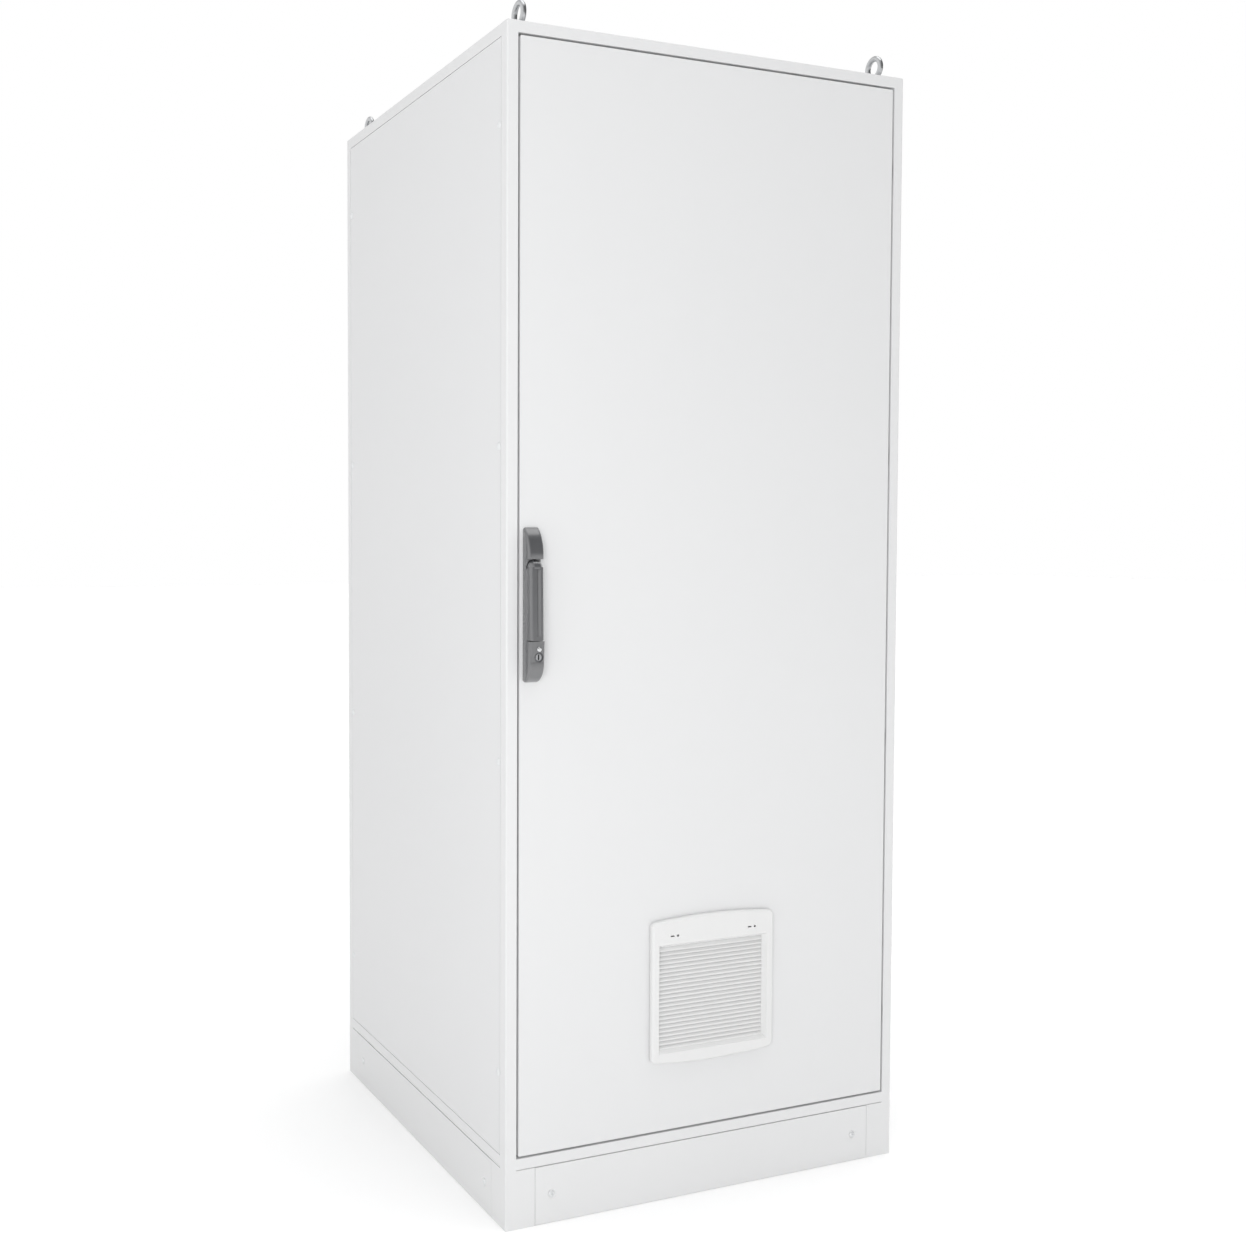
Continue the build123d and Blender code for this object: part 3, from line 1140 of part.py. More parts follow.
def floor_plate():
    """Floor sheet on the base rails, notched round the posts, open over the cable entry."""
    half_x = HALF_WIDTH - FLOOR_INSET
    half_y = HALF_DEPTH - FLOOR_INSET
    plate = block(-half_x, half_x, -half_y, half_y, FLOOR_Z, FLOOR_Z + FLOOR_SHEET)
    notch = PROFILE + STRIP_SHEET
    through = (FLOOR_Z - PAST, FLOOR_Z + FLOOR_SHEET + PAST)
    corner = block(-HALF_WIDTH, -HALF_WIDTH + notch, FRONT, FRONT + notch, *through)
    for piece in four_corners(corner):
        plate -= piece
    entry = HALF_DEPTH - ENTRY_BACK
    return plate - block(*around(0, ENTRY_WIDTH / 2), *around(entry, ENTRY_DEPTH / 2), *through)


def gland_plate():
    half_x = ENTRY_WIDTH / 2 + ENTRY_LAP
    half_y = ENTRY_DEPTH / 2 + ENTRY_LAP
    entry = HALF_DEPTH - ENTRY_BACK
    top = FLOOR_Z + 2 * FLOOR_SHEET
    return block(-half_x, half_x, *around(entry, half_y), FLOOR_Z + FLOOR_SHEET, top)


def mounting_strip():
    """Punched angle on the inner face of the front left post."""
    outer = -HALF_WIDTH + PROFILE
    start = FRONT + STRIP_START
    end = start + STRIP_DEPTH
    low, high = FLOOR_Z + STRIP_END, HEIGHT - PROFILE - STRIP_END
    strip = block(outer, outer + STRIP_SHEET, start, end, low, high)
    strip += block(outer + STRIP_SHEET - STRIP_RETURN, outer + STRIP_SHEET, end - STRIP_SHEET, end, low, high)
    wide, tall = STRIP_SLOT
    y = end - STRIP_SHEET - wide
    count = int((high - low) / STRIP_PITCH) - 1
    slots = [block(outer - PAST, outer + STRIP_SHEET + PAST, *around(y, wide / 2), *around(z, tall / 2))
             for z in [low + STRIP_PITCH * (number + 1) for number in range(count)]]
    return strip - slots


def shelf_runner(z):
    """Left runner: an angle on the punched strips that one shelf rests on."""
    outer = -STRIP_FACE
    half = HALF_DEPTH - RUNNER_INSET
    runner = block(outer, outer + RUNNER_SHEET, -half, half, z - RUNNER_HEIGHT, z)
    return runner + block(outer, outer + RUNNER_WIDTH, -half, half, z - RUNNER_SHEET, z)


def battery_shelf(z):
    """Shelf tray with upturned lips and rows of air slots."""
    half_x = STRIP_FACE - SHELF_SIDE_AIR
    half_y = HALF_DEPTH - SHELF_INSET
    sheet = SHELF_SHEET
    shelf = block(-half_x, half_x, -half_y, half_y, z, z + SHELF_LIP)
    top = z + SHELF_LIP + PAST
    shelf -= block(*around(0, half_x - sheet), *around(0, half_y - sheet), z + sheet, top)
    long, wide = SHELF_SLOT
    slots = []
    for column in range(SHELF_SLOT_COLUMNS):
        x = 2 * half_x * ((column + 1) / (SHELF_SLOT_COLUMNS + 1)) - half_x
        for row in range(SHELF_SLOT_ROWS):
            y = 2 * half_y * ((row + 1) / (SHELF_SLOT_ROWS + 1)) - half_y
            slots.append(block(*around(x, long / 2), *around(y, wide / 2), z - PAST, z + sheet + PAST))
    return shelf - slots


def din_rail():
    """Top-hat rail between end plates on the front strips."""
    brim = FRONT + DIN_SETBACK
    half = DIN_WIDTH / 2
    web = half - DIN_BRIM
    sheet = DIN_SHEET
    reach = STRIP_FACE - DIN_PLATE / 2
    rail = block(-reach, reach, brim, brim + sheet, *around(DIN_HEIGHT, half))
    rail += block(-reach, reach, brim, brim + DIN_DEPTH, *around(DIN_HEIGHT, web))
    inner = web - sheet
    floor = brim + DIN_DEPTH - sheet
    rail -= block(*around(0, reach + PAST), brim - PAST, floor, *around(DIN_HEIGHT, inner))
    tall = DIN_PLATE_TALL / 2
    plate = block(-STRIP_FACE, -STRIP_FACE + DIN_PLATE, FRONT + DIN_PLATE_START, brim + DIN_DEPTH,
                  *around(DIN_HEIGHT, tall))
    return rail + plate + mirrored_x(plate)


def rail_hooks(x0, x1):
    """Hooks of a device that grip the rail's brim from above and below."""
    brim = FRONT + DIN_SETBACK
    inner = DIN_WIDTH / 2 + DIN_FIT
    behind = brim + DIN_SHEET + DIN_FIT
    hook = block(x0, x1, brim - PAST, behind + DIN_HOOK, DIN_HEIGHT + inner, DIN_HEIGHT + inner + DIN_HOOK)
    edge = DIN_HEIGHT + inner
    hook += block(x0, x1, behind, behind + DIN_HOOK, edge - DIN_HOOK_REACH, edge + DIN_HOOK)
    return hook + mirror(hook, about=Plane.XY.offset(DIN_HEIGHT))


def breaker_slot():
    """Where the toggle's drum lies: centre of the drum in Y."""
    return FRONT + DIN_SETBACK - BREAKER_DEPTH + TOGGLE_SETBACK


def battery_breaker():
    """Three-pole breaker on the rail, its stepped front open for the toggle."""
    half = BREAKER_POLES * POLE_WIDTH / 2
    x0, x1 = BREAKER_X - half, BREAKER_X + half
    brim = FRONT + DIN_SETBACK
    face = brim - BREAKER_DEPTH
    nose_tall, nose_deep = BREAKER_NOSE
    tall = BREAKER_TALL / 2
    shape = block(x0, x1, face + nose_deep, brim, *around(DIN_HEIGHT, tall))
    shape += block(x0, x1, face, brim, *around(DIN_HEIGHT, nose_tall / 2))
    shape += rail_hooks(x0, x1)
    room = TOGGLE_ROUND + TOGGLE_AIR
    inset = TOGGLE_INSET - TOGGLE_AIR
    return shape - rod_between("x", (breaker_slot(), DIN_HEIGHT), room, x0 + inset, x1 - inset)


def breaker_toggle():
    """Toggle bar of the breaker in its lower position."""
    half = BREAKER_POLES * POLE_WIDTH / 2 - TOGGLE_INSET
    x0, x1 = BREAKER_X - half, BREAKER_X + half
    thick = TOGGLE_LEVER / 2
    lever = block(x0, x1, -TOGGLE_REACH, 0, -thick, thick)
    lever = fillet([e for e in lever.edges().filter_by(Axis.X) if e.center().Y < 1 - TOGGLE_REACH], thick / 2)
    toggle = lever + rod_between("x", (0, 0), TOGGLE_ROUND, x0, x1)
    return Pos(0, breaker_slot(), DIN_HEIGHT) * Rot(TOGGLE_SWING, 0, 0) * toggle


def terminal_block(number):
    """One terminal on the rail, with a wire entry above and below."""
    x0 = TERMINAL_X + TERMINAL_PITCH * number
    x1 = x0 + TERMINAL_PITCH - TERMINAL_AIR
    brim = FRONT + DIN_SETBACK
    tall = TERMINAL_TALL / 2
    face = brim - TERMINAL_DEPTH
    shape = block(x0, x1, face, brim, *around(DIN_HEIGHT, tall))
    shape = chamfer([e for e in shape.edges().filter_by(Axis.X) if e.center().Y < face + 1], TERMINAL_CHAMFER)
    shape += rail_hooks(x0, x1)
    middle = (x0 + x1) / 2
    for way in (-1, 1):
        z = DIN_HEIGHT + way * tall
        entry = (middle, face + TERMINAL_CHAMFER + TERMINAL_ENTRY)
        shape -= rod_between("z", entry, TERMINAL_ENTRY / 2, z - TERMINAL_ENTRY, z + TERMINAL_ENTRY)
        screw = (middle, z - way * (TERMINAL_CHAMFER + TERMINAL_ENTRY))
        shape -= rod_between("y", screw, TERMINAL_ENTRY / 2, face - PAST, face + TERMINAL_ENTRY / 2)
    return shape


# ---- all pieces, one file per node ----

os.makedirs("parts", exist_ok=True)

front_post = post()
back_post = rear_post()
save("post_front_left", front_post)
save("post_front_right", mirrored_x(front_post))
save("post_rear_left", back_post)
save("post_rear_right", mirrored_x(back_post))

top_front = top_front_rail()
top_side = top_side_rail()
base_front = base_front_rail()
base_side = base_side_rail()
save("top_rail_front", top_front)
save("top_rail_rear", mirrored_y(top_front))
save("top_rail_left", top_side)
save("top_rail_right", mirrored_x(top_side))
save("base_rail_front", base_front)
save("base_rail_rear", mirrored_y(base_front))
save("base_rail_left", base_side)
save("base_rail_right", mirrored_x(base_side))

left_panel = side_panel()
save("side_panel_left", left_panel)
save("side_panel_right", mirrored_x(left_panel))
save("rear_panel", rear_panel())
save("roof_panel", roof_panel())
save("panel_screws", *panel_screws())
save("eyebolts", *four_corners(eyebolt()))

front_cover = Pos(0, FRONT, 0) * plinth_cover(WIDTH)
left_cover = turned(Pos(0, -HALF_WIDTH, 0) * plinth_cover(DEPTH), 3)
save("plinth_corners", *four_corners(plinth_corner()))
save("plinth_cover_front", front_cover)
save("plinth_cover_rear", mirrored_y(front_cover))
save("plinth_cover_left", left_cover)
save("plinth_cover_right", mirrored_x(left_cover))
save("plinth_cover_screws", *plinth_cover_screws())
save("plinth_bolts", *four_corners(plinth_bolt()))

save("door_panel", door_panel())
save("door_gasket", door_gasket())
save("door_rails", door_rail(-1), door_rail(1))
save("hinge_frame_leaves", *[hinge_frame_leaf(z) for z in HINGE_HEIGHTS])
save("hinge_door_leaves", *[hinge_door_leaf(z) for z in HINGE_HEIGHTS])
save("hinge_pins", *[hinge_pin(z) for z in HINGE_HEIGHTS])

save("handle_base", handle_base())
save("handle_screws", *[handle_screw(MIDDLE + side * HANDLE_SCREW_PITCH / 2) for side in (-1, 1)])
save("handle_hub", handle_hub())
save("lever_pin", lever_pin())
save("handle_lever", handle_lever())
save("lock_cylinder", lock_cylinder())
save("key_plug", key_plug())
save("release_button", release_button())

save("drive_pinion", drive_pinion())
save("gearbox_case", gearbox_case())
save("upper_rod", upper_rod())
save("lower_rod", lower_rod())
save("rod_guides", *rod_guides())

save("vent_housing", vent_housing())
save("vent_hinge_pins", vent_hinge_pin(-COVER_HINGE_X), vent_hinge_pin(COVER_HINGE_X))
save("filter_mat", filter_mat())
save("vent_cover", vent_cover())

save("floor_plate", floor_plate())
save("gland_plate", gland_plate())
save("mounting_strips", *four_corners(mounting_strip()))
left_runners = [shelf_runner(z) for z in SHELF_HEIGHTS]
save("shelf_runners", *left_runners, *[mirrored_x(runner) for runner in left_runners])
for number, z in enumerate(SHELF_HEIGHTS, start=1):
    save(f"battery_shelf_{number}", battery_shelf(z))
save("din_rail", din_rail())
save("battery_breaker", battery_breaker())
save("breaker_toggle", breaker_toggle())
save("terminal_blocks", *[terminal_block(number) for number in range(TERMINAL_COUNT)])
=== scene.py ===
import bmesh
import bpy
import math
from mathutils import Matrix, Vector, noise


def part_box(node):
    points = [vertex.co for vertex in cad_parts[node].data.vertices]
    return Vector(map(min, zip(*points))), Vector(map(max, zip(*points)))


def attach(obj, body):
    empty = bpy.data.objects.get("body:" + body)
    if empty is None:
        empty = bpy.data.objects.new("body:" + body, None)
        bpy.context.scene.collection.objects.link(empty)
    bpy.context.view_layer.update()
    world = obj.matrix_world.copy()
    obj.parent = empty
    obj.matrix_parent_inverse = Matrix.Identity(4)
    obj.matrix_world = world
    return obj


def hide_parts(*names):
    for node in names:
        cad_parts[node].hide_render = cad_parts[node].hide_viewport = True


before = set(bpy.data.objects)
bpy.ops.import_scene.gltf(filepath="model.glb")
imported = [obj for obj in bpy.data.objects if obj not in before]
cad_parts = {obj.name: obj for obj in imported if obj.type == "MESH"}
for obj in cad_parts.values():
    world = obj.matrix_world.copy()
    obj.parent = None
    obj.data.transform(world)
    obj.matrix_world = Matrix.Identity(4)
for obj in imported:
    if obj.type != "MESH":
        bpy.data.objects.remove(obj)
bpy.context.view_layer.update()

# Sizes of the cabinet that several sections use, in metres.
HALF_WIDTH = 0.400
HALF_DEPTH = 0.400
ROOF = 2.000
BODY_MIDDLE = 1.050

# Sockets of a Mix node that is set to colours.
MIX_SHARE, MIX_FIRST, MIX_SECOND, MIX_RESULT = 0, 6, 7, 2


# ---------------------------------------------------------------------------
# Welded frame. Four posts and eight rails of folded 2 mm steel, welded at the
# corners, ground and coated with a light grey powder whose skin has a fine
# orange peel.

class Value:
    """A shader socket that can be used in sums and products."""

    def __init__(self, finish, socket):
        self.finish = finish
        self.socket = socket

    def maths(self, operation, first, second):
        return self.finish.add("Math", {"operation": operation}, {0: first, 1: second})

    def __add__(self, other):
        return self.maths("ADD", self, other)

    __radd__ = __add__

    def __mul__(self, other):
        return self.maths("MULTIPLY", self, other)


class Finish:
    """A surface finish, put together node by node round one Principled shader."""

    def __init__(self, name, **constants):
        self.material = bpy.data.materials.new(name)
        self.material.use_nodes = True
        self.tree = self.material.node_tree
        self.shader = self.tree.nodes["Principled BSDF"]
        for socket, value in constants.items():
            self.shader.inputs[socket.replace("_", " ")].default_value = value

    def join(self, socket, value):
        """Links another node's value to a socket, or sets a plain one."""
        if isinstance(value, Value):
            self.tree.links.new(value.socket, socket)
        else:
            socket.default_value = value

    def add(self, kind, settings=None, sockets=None, output=0):
        """Adds a shader node, sets it up and gives one of its outputs."""
        node = self.tree.nodes.new("ShaderNode" + kind)
        for name, value in (settings or {}).items():
            setattr(node, name, value)
        for name, value in (sockets or {}).items():
            self.join(node.inputs[name], value)
        return Value(self, node.outputs[output])

    def place(self):
        return self.add("TexCoord", output="Object")

    def grain(self, scale, detail=2.0, stretch=(1, 1, 1)):
        """Soft noise over the piece, finer as scale rises; stretch draws it out along an axis."""
        vector = self.add("Mapping", {}, {"Vector": self.place(), "Scale": stretch})
        return self.add("TexNoise", {}, {"Vector": vector, "Scale": scale, "Detail": detail})

    def two_tones(self, mask, first, second):
        """The first colour where the mask is dark, the second where it is bright."""
        tones = {MIX_SHARE: mask, MIX_FIRST: (*first, 1), MIX_SECOND: (*second, 1)}
        return self.add("Mix", {"data_type": "RGBA"}, tones, output=MIX_RESULT)

    def surface(self, **varying):
        for socket, value in varying.items():
            self.join(self.shader.inputs[socket.replace("_", " ")], value)
        return self

    def relief(self, height, depth, strength=1.0):
        bump = self.add("Bump", {}, {"Height": height, "Distance": depth, "Strength": strength})
        self.join(self.shader.inputs["Normal"], bump)
        return self

    def cover(self, *nodes):
        """Gives the finish to pieces that come with the frame."""
        for node in nodes:
            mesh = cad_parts[node].data
            mesh.materials.clear()
            mesh.materials.append(self.material)


def powder_coat(name, light, shade):
    """Sprayed and baked powder: broad faint clouds under a fine peel."""
    coat = Finish(name, Coat_Weight=0.12, Coat_Roughness=0.25)
    patch = coat.grain(2.2)
    peel = coat.grain(620.0, detail=3.0)
    coat.surface(Base_Color=coat.two_tones(patch, light, shade), Roughness=0.36 + peel * 0.12)
    return coat.relief(peel, depth=0.00012, strength=0.5)


frame_coat = powder_coat("frame powder coat", (0.755, 0.757, 0.761), (0.741, 0.745, 0.750))
frame_coat.cover(*[f"post_{end}_{side}" for end in ("front", "rear") for side in ("left", "right")])
frame_coat.cover(*[f"{level}_rail_{side}" for level in ("top", "base")
                   for side in ("front", "rear", "left", "right")])


# ---------------------------------------------------------------------------
# Side, rear and roof trays. Folded sheet of 1.5 mm, 2 mm on the roof, coated
# like the frame in another batch. Screws hold the side and rear trays to the
# frame's seats; the lifting eyes hold the roof tray.

panel_coat = powder_coat("panel powder coat", (0.748, 0.751, 0.756), (0.734, 0.738, 0.745))
panel_coat.cover("side_panel_left", "side_panel_right", "rear_panel", "roof_panel")


# ---------------------------------------------------------------------------
# Panel screws. Oval-head M5 screws with a cross recess, each seated in a cup
# washer, in six rows of four along the trays' upright edges.

def bright_zinc(name, tone):
    """Zinc plating with a cloudy sheen."""
    zinc = Finish(name, Metallic=1.0)
    cloud = zinc.grain(160.0, detail=4.0)
    colour = zinc.two_tones(cloud, tone, [0.82 * part for part in tone])
    zinc.surface(Base_Color=colour, Roughness=0.24 + cloud * 0.16)
    return zinc.relief(zinc.grain(1500.0), depth=0.00003)


def closed_solid(mesh, name):
    """Object of a closed mesh, with all its faces turned outward."""
    bmesh.ops.recalc_face_normals(mesh, faces=mesh.faces)
    data = bpy.data.meshes.new(name)
    mesh.to_mesh(data)
    mesh.free()
    return bpy.data.objects.new(name, data)


def turned(profile, name, steps=32):
    """Solid of revolution about -Y from (radius, out) pairs, closed at both ends."""
    mesh = bmesh.new()
    rings = []
    angles = [2 * math.pi * step / steps for step in range(steps)]
    for radius, out in profile:
        rings.append([mesh.verts.new((radius * math.cos(angle), -out, radius * math.sin(angle)))
                      for angle in angles])
    for low, high in zip(rings, rings[1:]):
        for step in range(steps):
            after = (step + 1) % steps
            mesh.faces.new((low[step], low[after], high[after], high[step]))
    mesh.faces.new(list(reversed(rings[0])))
    mesh.faces.new(rings[-1])
    return closed_solid(mesh, name)


def carved(body, tool):
    """Cuts a closed shape, which may cross itself, out of another and removes the cutter."""
    bpy.context.scene.collection.objects.link(body)
    bpy.context.scene.collection.objects.link(tool)
    cut = body.modifiers.new("cut", "BOOLEAN")
    cut.operation = "DIFFERENCE"
    cut.solver = "EXACT"
    cut.object = tool
    cut.use_self = True
    evaluated = body.evaluated_get(bpy.context.evaluated_depsgraph_get())
    body.data = bpy.data.meshes.new_from_object(evaluated)
    body.modifiers.clear()
    bpy.data.objects.remove(tool)
    bpy.context.scene.collection.objects.unlink(body)
    return body


def cross_recess(reach, width, depth, face):
    """Cutter for a cross recess: two tapered wedges through the head's face, one across the other."""
    above, floor_share = 0.0005, 0.45
    mesh = bmesh.new()
    for turn in (0.0, math.pi / 2):
        corners = []
        for out, share in ((face + above, 1.0), (face - depth, floor_share)):
            for x, z in ((-1, -1), (1, -1), (1, 1), (-1, 1)):
                point = Vector((x * reach * share, 0, z * width / 2 * (0.6 + 0.4 * share)))
                point.rotate(Matrix.Rotation(turn, 3, "Y"))
                corners.append(mesh.verts.new((point.x, -out, point.z)))
        top, floor = corners[:4], corners[4:]
        mesh.faces.new(top)
        mesh.faces.new(list(reversed(floor)))
        for step in range(4):
            after = (step + 1) % 4
            mesh.faces.new((top[after], top[step], floor[step], floor[after]))
    return closed_solid(mesh, "recess")


def rows_tree(name):
    """Node tree that sets a row of one fastener at each point of a mesh, turned about the upright."""
    tree = bpy.data.node_groups.new(name, "GeometryNodeTree")
    tree.interface.new_socket("Geometry", in_out="INPUT", socket_type="NodeSocketGeometry")
    inputs = (("Fastener", "NodeSocketObject"), ("Count", "NodeSocketInt"), ("Step", "NodeSocketVector"),
              ("Finish", "NodeSocketMaterial"))
    for label, kind in inputs:
        tree.interface.new_socket(label, in_out="INPUT", socket_type=kind)
    tree.interface.new_socket("Geometry", in_out="OUTPUT", socket_type="NodeSocketGeometry")
    new, link = tree.nodes.new, tree.links.new
    given, result = new("NodeGroupInput"), new("NodeGroupOutput")
    line, info = new("GeometryNodeMeshLine"), new("GeometryNodeObjectInfo")
    row, spread = new("GeometryNodeInstanceOnPoints"), new("GeometryNodeInstanceOnPoints")
    turn, real = new("GeometryNodeInputNamedAttribute"), new("GeometryNodeRealizeInstances")
    paint = new("GeometryNodeSetMaterial")
    turn.data_type = "FLOAT_VECTOR"
    turn.inputs["Name"].default_value = "turn"
    link(given.outputs["Count"], line.inputs["Count"])
    link(given.outputs["Step"], line.inputs["Offset"])
    link(given.outputs["Fastener"], info.inputs["Object"])
    link(line.outputs["Mesh"], row.inputs["Points"])
    link(info.outputs["Geometry"], row.inputs["Instance"])
    link(given.outputs["Geometry"], spread.inputs["Points"])
    link(row.outputs["Instances"], spread.inputs["Instance"])
    link(turn.outputs["Attribute"], spread.inputs["Rotation"])
    link(spread.outputs["Instances"], real.inputs["Geometry"])
    link(real.outputs["Geometry"], paint.inputs["Geometry"])
    link(given.outputs["Finish"], paint.inputs["Material"])
    link(paint.outputs["Geometry"], result.inputs["Geometry"])
    return tree


fastener_rows = rows_tree("fastener rows")


def made_by(tree, name, points, turns, values):
    """Plain mesh that a node tree makes from a set of points and its named inputs."""
    data = bpy.data.meshes.new(name)
    data.from_pydata(points, [], [])
    attribute = data.attributes.new("turn", "FLOAT_VECTOR", "POINT")
    for place, turn in enumerate(turns):
        attribute.data[place].vector = (0, 0, math.radians(turn))
    piece = bpy.data.objects.new(name, data)
    bpy.context.scene.collection.objects.link(piece)
    build = piece.modifiers.new("build", "NODES")
    build.node_group = tree
    sockets = {item.name: item.identifier for item in tree.interface.items_tree if item.in_out == "INPUT"}
    for label, value in values.items():
        build[sockets[label]] = value
    piece.update_tag()
    evaluated = piece.evaluated_get(bpy.context.evaluated_depsgraph_get())
    piece.data = bpy.data.meshes.new_from_object(evaluated)
    piece.modifiers.clear()
    for polygon in piece.data.polygons:
        polygon.use_smooth = True
    piece.data.set_sharp_from_angle(angle=math.radians(32))
    return piece


def fitted_screws(name, fastener, points, turns, count, step, finish, body, node):
    """Rows of one fastener on a body, in the place of a node of the frame if one is named."""
    bpy.context.scene.collection.objects.link(fastener)
    values = {"Fastener": fastener, "Count": count, "Step": step, "Finish": finish.material}
    piece = made_by(fastener_rows, name, points, turns, values)
    bpy.data.objects.remove(fastener)
    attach(piece, body)
    if node:
        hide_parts(node)


screw_zinc = bright_zinc("screw zinc", (0.66, 0.67, 0.69))
screw_coat = Finish("screw coating", Metallic=0.25, Coat_Weight=0.3)
speck = screw_coat.grain(900.0)
screw_coat.surface(Base_Color=screw_coat.two_tones(speck, (0.80, 0.81, 0.82), (0.72, 0.73, 0.74)),
                   Roughness=0.28 + speck * 0.10)
screw_coat.relief(speck, depth=0.00002)
SCREW_PROUD = -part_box("panel_screws")[0].x - HALF_WIDTH
SCREW_PITCH = 0.525
SCREW_COLUMN = 0.370          # of a row of screws, from the cabinet's middle
SCREW_FIRST = BODY_MIDDLE - 1.5 * SCREW_PITCH
cup_and_head = turned([(0.0025, -0.016), (0.0025, -0.0001), (0.0069, -0.0001), (0.0070, 0.0002),
                       (0.0062, 0.0012), (0.0052, 0.0016), (0.0046, 0.00145), (0.0044, 0.0017),
                       (0.0038, 0.0022), (0.0026, SCREW_PROUD - 0.0001), (0.0012, SCREW_PROUD)],
                      "panel screw")
cup_and_head = carved(cup_and_head, cross_recess(0.0026, 0.0009, 0.0016, SCREW_PROUD))
columns = [(side * HALF_WIDTH, end * SCREW_COLUMN, SCREW_FIRST) for side in (-1, 1) for end in (-1, 1)]
columns += [(side * SCREW_COLUMN, HALF_DEPTH, SCREW_FIRST) for side in (-1, 1)]
fitted_screws("panel_screws_detailed", cup_and_head, columns, (-90, -90, 90, 90, 180, 180), 4,
              (0, 0, SCREW_PITCH), screw_coat, "cabinet", "panel_screws")


# ---------------------------------------------------------------------------
# Lifting eyes. Drop-forged M10 eyes, bright zinc plated: the ring runs down
# into a flared neck that stands on a round collar. One is screwed down through
# each corner of the roof tray into a post.

def forged_eye(name):
    """Ring that swells into its neck, collar and shank, run together like a forging."""
    ring_mean, rod, centre = 0.0175, 0.005, 0.0225
    around, along, steps = 28, 72, 48
    swelling, flattened = 0.16, 0.97
    mesh = bmesh.new()
    rings = []
    for step in range(along):
        angle = 2 * math.pi * step / along
        swell = 1 + swelling * max(0.0, -math.sin(angle)) ** 3
        ring = []
        for part in range(around):
            turn = 2 * math.pi * part / around
            out = ring_mean + rod * math.cos(turn)
            ring.append(mesh.verts.new((rod * swell * math.sin(turn) * flattened, out * math.cos(angle),
                                        centre + out * math.sin(angle))))
        rings.append(ring)
    for step in range(along):
        for part in range(around):
            mesh.faces.new((rings[step][part], rings[step][(part + 1) % around],
                            rings[(step + 1) % along][(part + 1) % around], rings[(step + 1) % along][part]))
    profile = [(0.0050, -0.018), (0.0050, 0.0001), (0.0122, 0.0001), (0.0125, 0.0008), (0.0122, 0.0022),
               (0.0112, 0.0032), (0.0085, 0.0042), (0.0066, 0.0060), (0.0055, 0.0085)]
    angles = [2 * math.pi * step / steps for step in range(steps)]
    loops = [[mesh.verts.new((radius * math.cos(angle), radius * math.sin(angle), height))
              for angle in angles] for radius, height in profile]
    for lower, upper in zip(loops, loops[1:]):
        for step in range(steps):
            after = (step + 1) % steps
            mesh.faces.new((lower[step], lower[after], upper[after], upper[step]))
    mesh.faces.new(list(reversed(loops[0])))
    mesh.faces.new(loops[-1])
    eye = closed_solid(mesh, name)
    bpy.context.scene.collection.objects.link(eye)
    melt = eye.modifiers.new("forge", "REMESH")
    melt.mode = "VOXEL"
    melt.voxel_size = 0.0007
    melt.use_smooth_shade = True
    soften = eye.modifiers.new("soften", "CORRECTIVE_SMOOTH")
    soften.iterations = 6
    soften.smooth_type = "LENGTH_WEIGHTED"
    soften.use_only_smooth = True
    evaluated = eye.evaluated_get(bpy.context.evaluated_depsgraph_get())
    eye.data = bpy.data.meshes.new_from_object(evaluated)
    eye.modifiers.clear()
    bpy.context.scene.collection.objects.unlink(eye)
    return eye


eye_zinc = bright_zinc("eye zinc", (0.60, 0.61, 0.62))
EYE_X, EYE_Y = 0.362, 0.364
eye_places = [(x, y, ROOF) for y in (-EYE_Y, EYE_Y) for x in (-EYE_X, EYE_X)]
fitted_screws("lifting_eyes", forged_eye("eye"), eye_places, (0, 0, 0, 0), 1, (0, 0, 0), eye_zinc,
              "cabinet", "eyebolts")


# ---------------------------------------------------------------------------
# Plinth. Four corner pieces of 2.5 mm sheet with flush covers between them,
# coated like the cabinet. Each cover has a domed M6 screw in a dimple near
# both ends, and an M12 bolt joins each corner to the post above it.

plinth_coat = powder_coat("plinth powder coat", (0.757, 0.759, 0.762), (0.742, 0.746, 0.750))
plinth_coat.cover("plinth_corners", *[f"plinth_cover_{side}" for side in ("front", "rear", "left", "right")])
screw_zinc.cover("plinth_bolts")

DOME_OUT = -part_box("plinth_cover_screws")[0].y - HALF_DEPTH
DIMPLE = -0.00125             # seat of the head in its dimple
COVER_SCREW_INSET = 0.087
COVER_SCREW_HEIGHT = 0.050
cover_screw = turned([(0.0030, DIMPLE - 0.0075), (0.0030, DIMPLE), (0.0054, DIMPLE),
                      (0.0055, DIMPLE + 0.0002), (0.0051, DIMPLE + 0.0009), (0.0040, DIMPLE + 0.0018),
                      (0.0024, DOME_OUT - 0.0002), (0.0010, DOME_OUT)], "cover screw")
cover_screw = carved(cover_screw, cross_recess(0.0026, 0.0010, 0.0014, DOME_OUT))
near = HALF_WIDTH - COVER_SCREW_INSET
cover_points = [(side * near, end * HALF_DEPTH, COVER_SCREW_HEIGHT) for end in (-1, 1) for side in (-1, 1)]
cover_points += [(side * HALF_WIDTH, end * near, COVER_SCREW_HEIGHT) for side in (-1, 1) for end in (-1, 1)]
fitted_screws("cover_screws_detailed", cover_screw, cover_points, (0, 0, 180, 180, -90, -90, 90, 90), 1,
              (0, 0, 0), screw_coat, "cabinet", "plinth_cover_screws")


# ---------------------------------------------------------------------------
# Inner sheet work. Floor and gland plate, punched strips, shelf runners, four
# battery shelves and the door's two stiffeners, all of hot-galvanised sheet
# with its flat frost of zinc crystals.

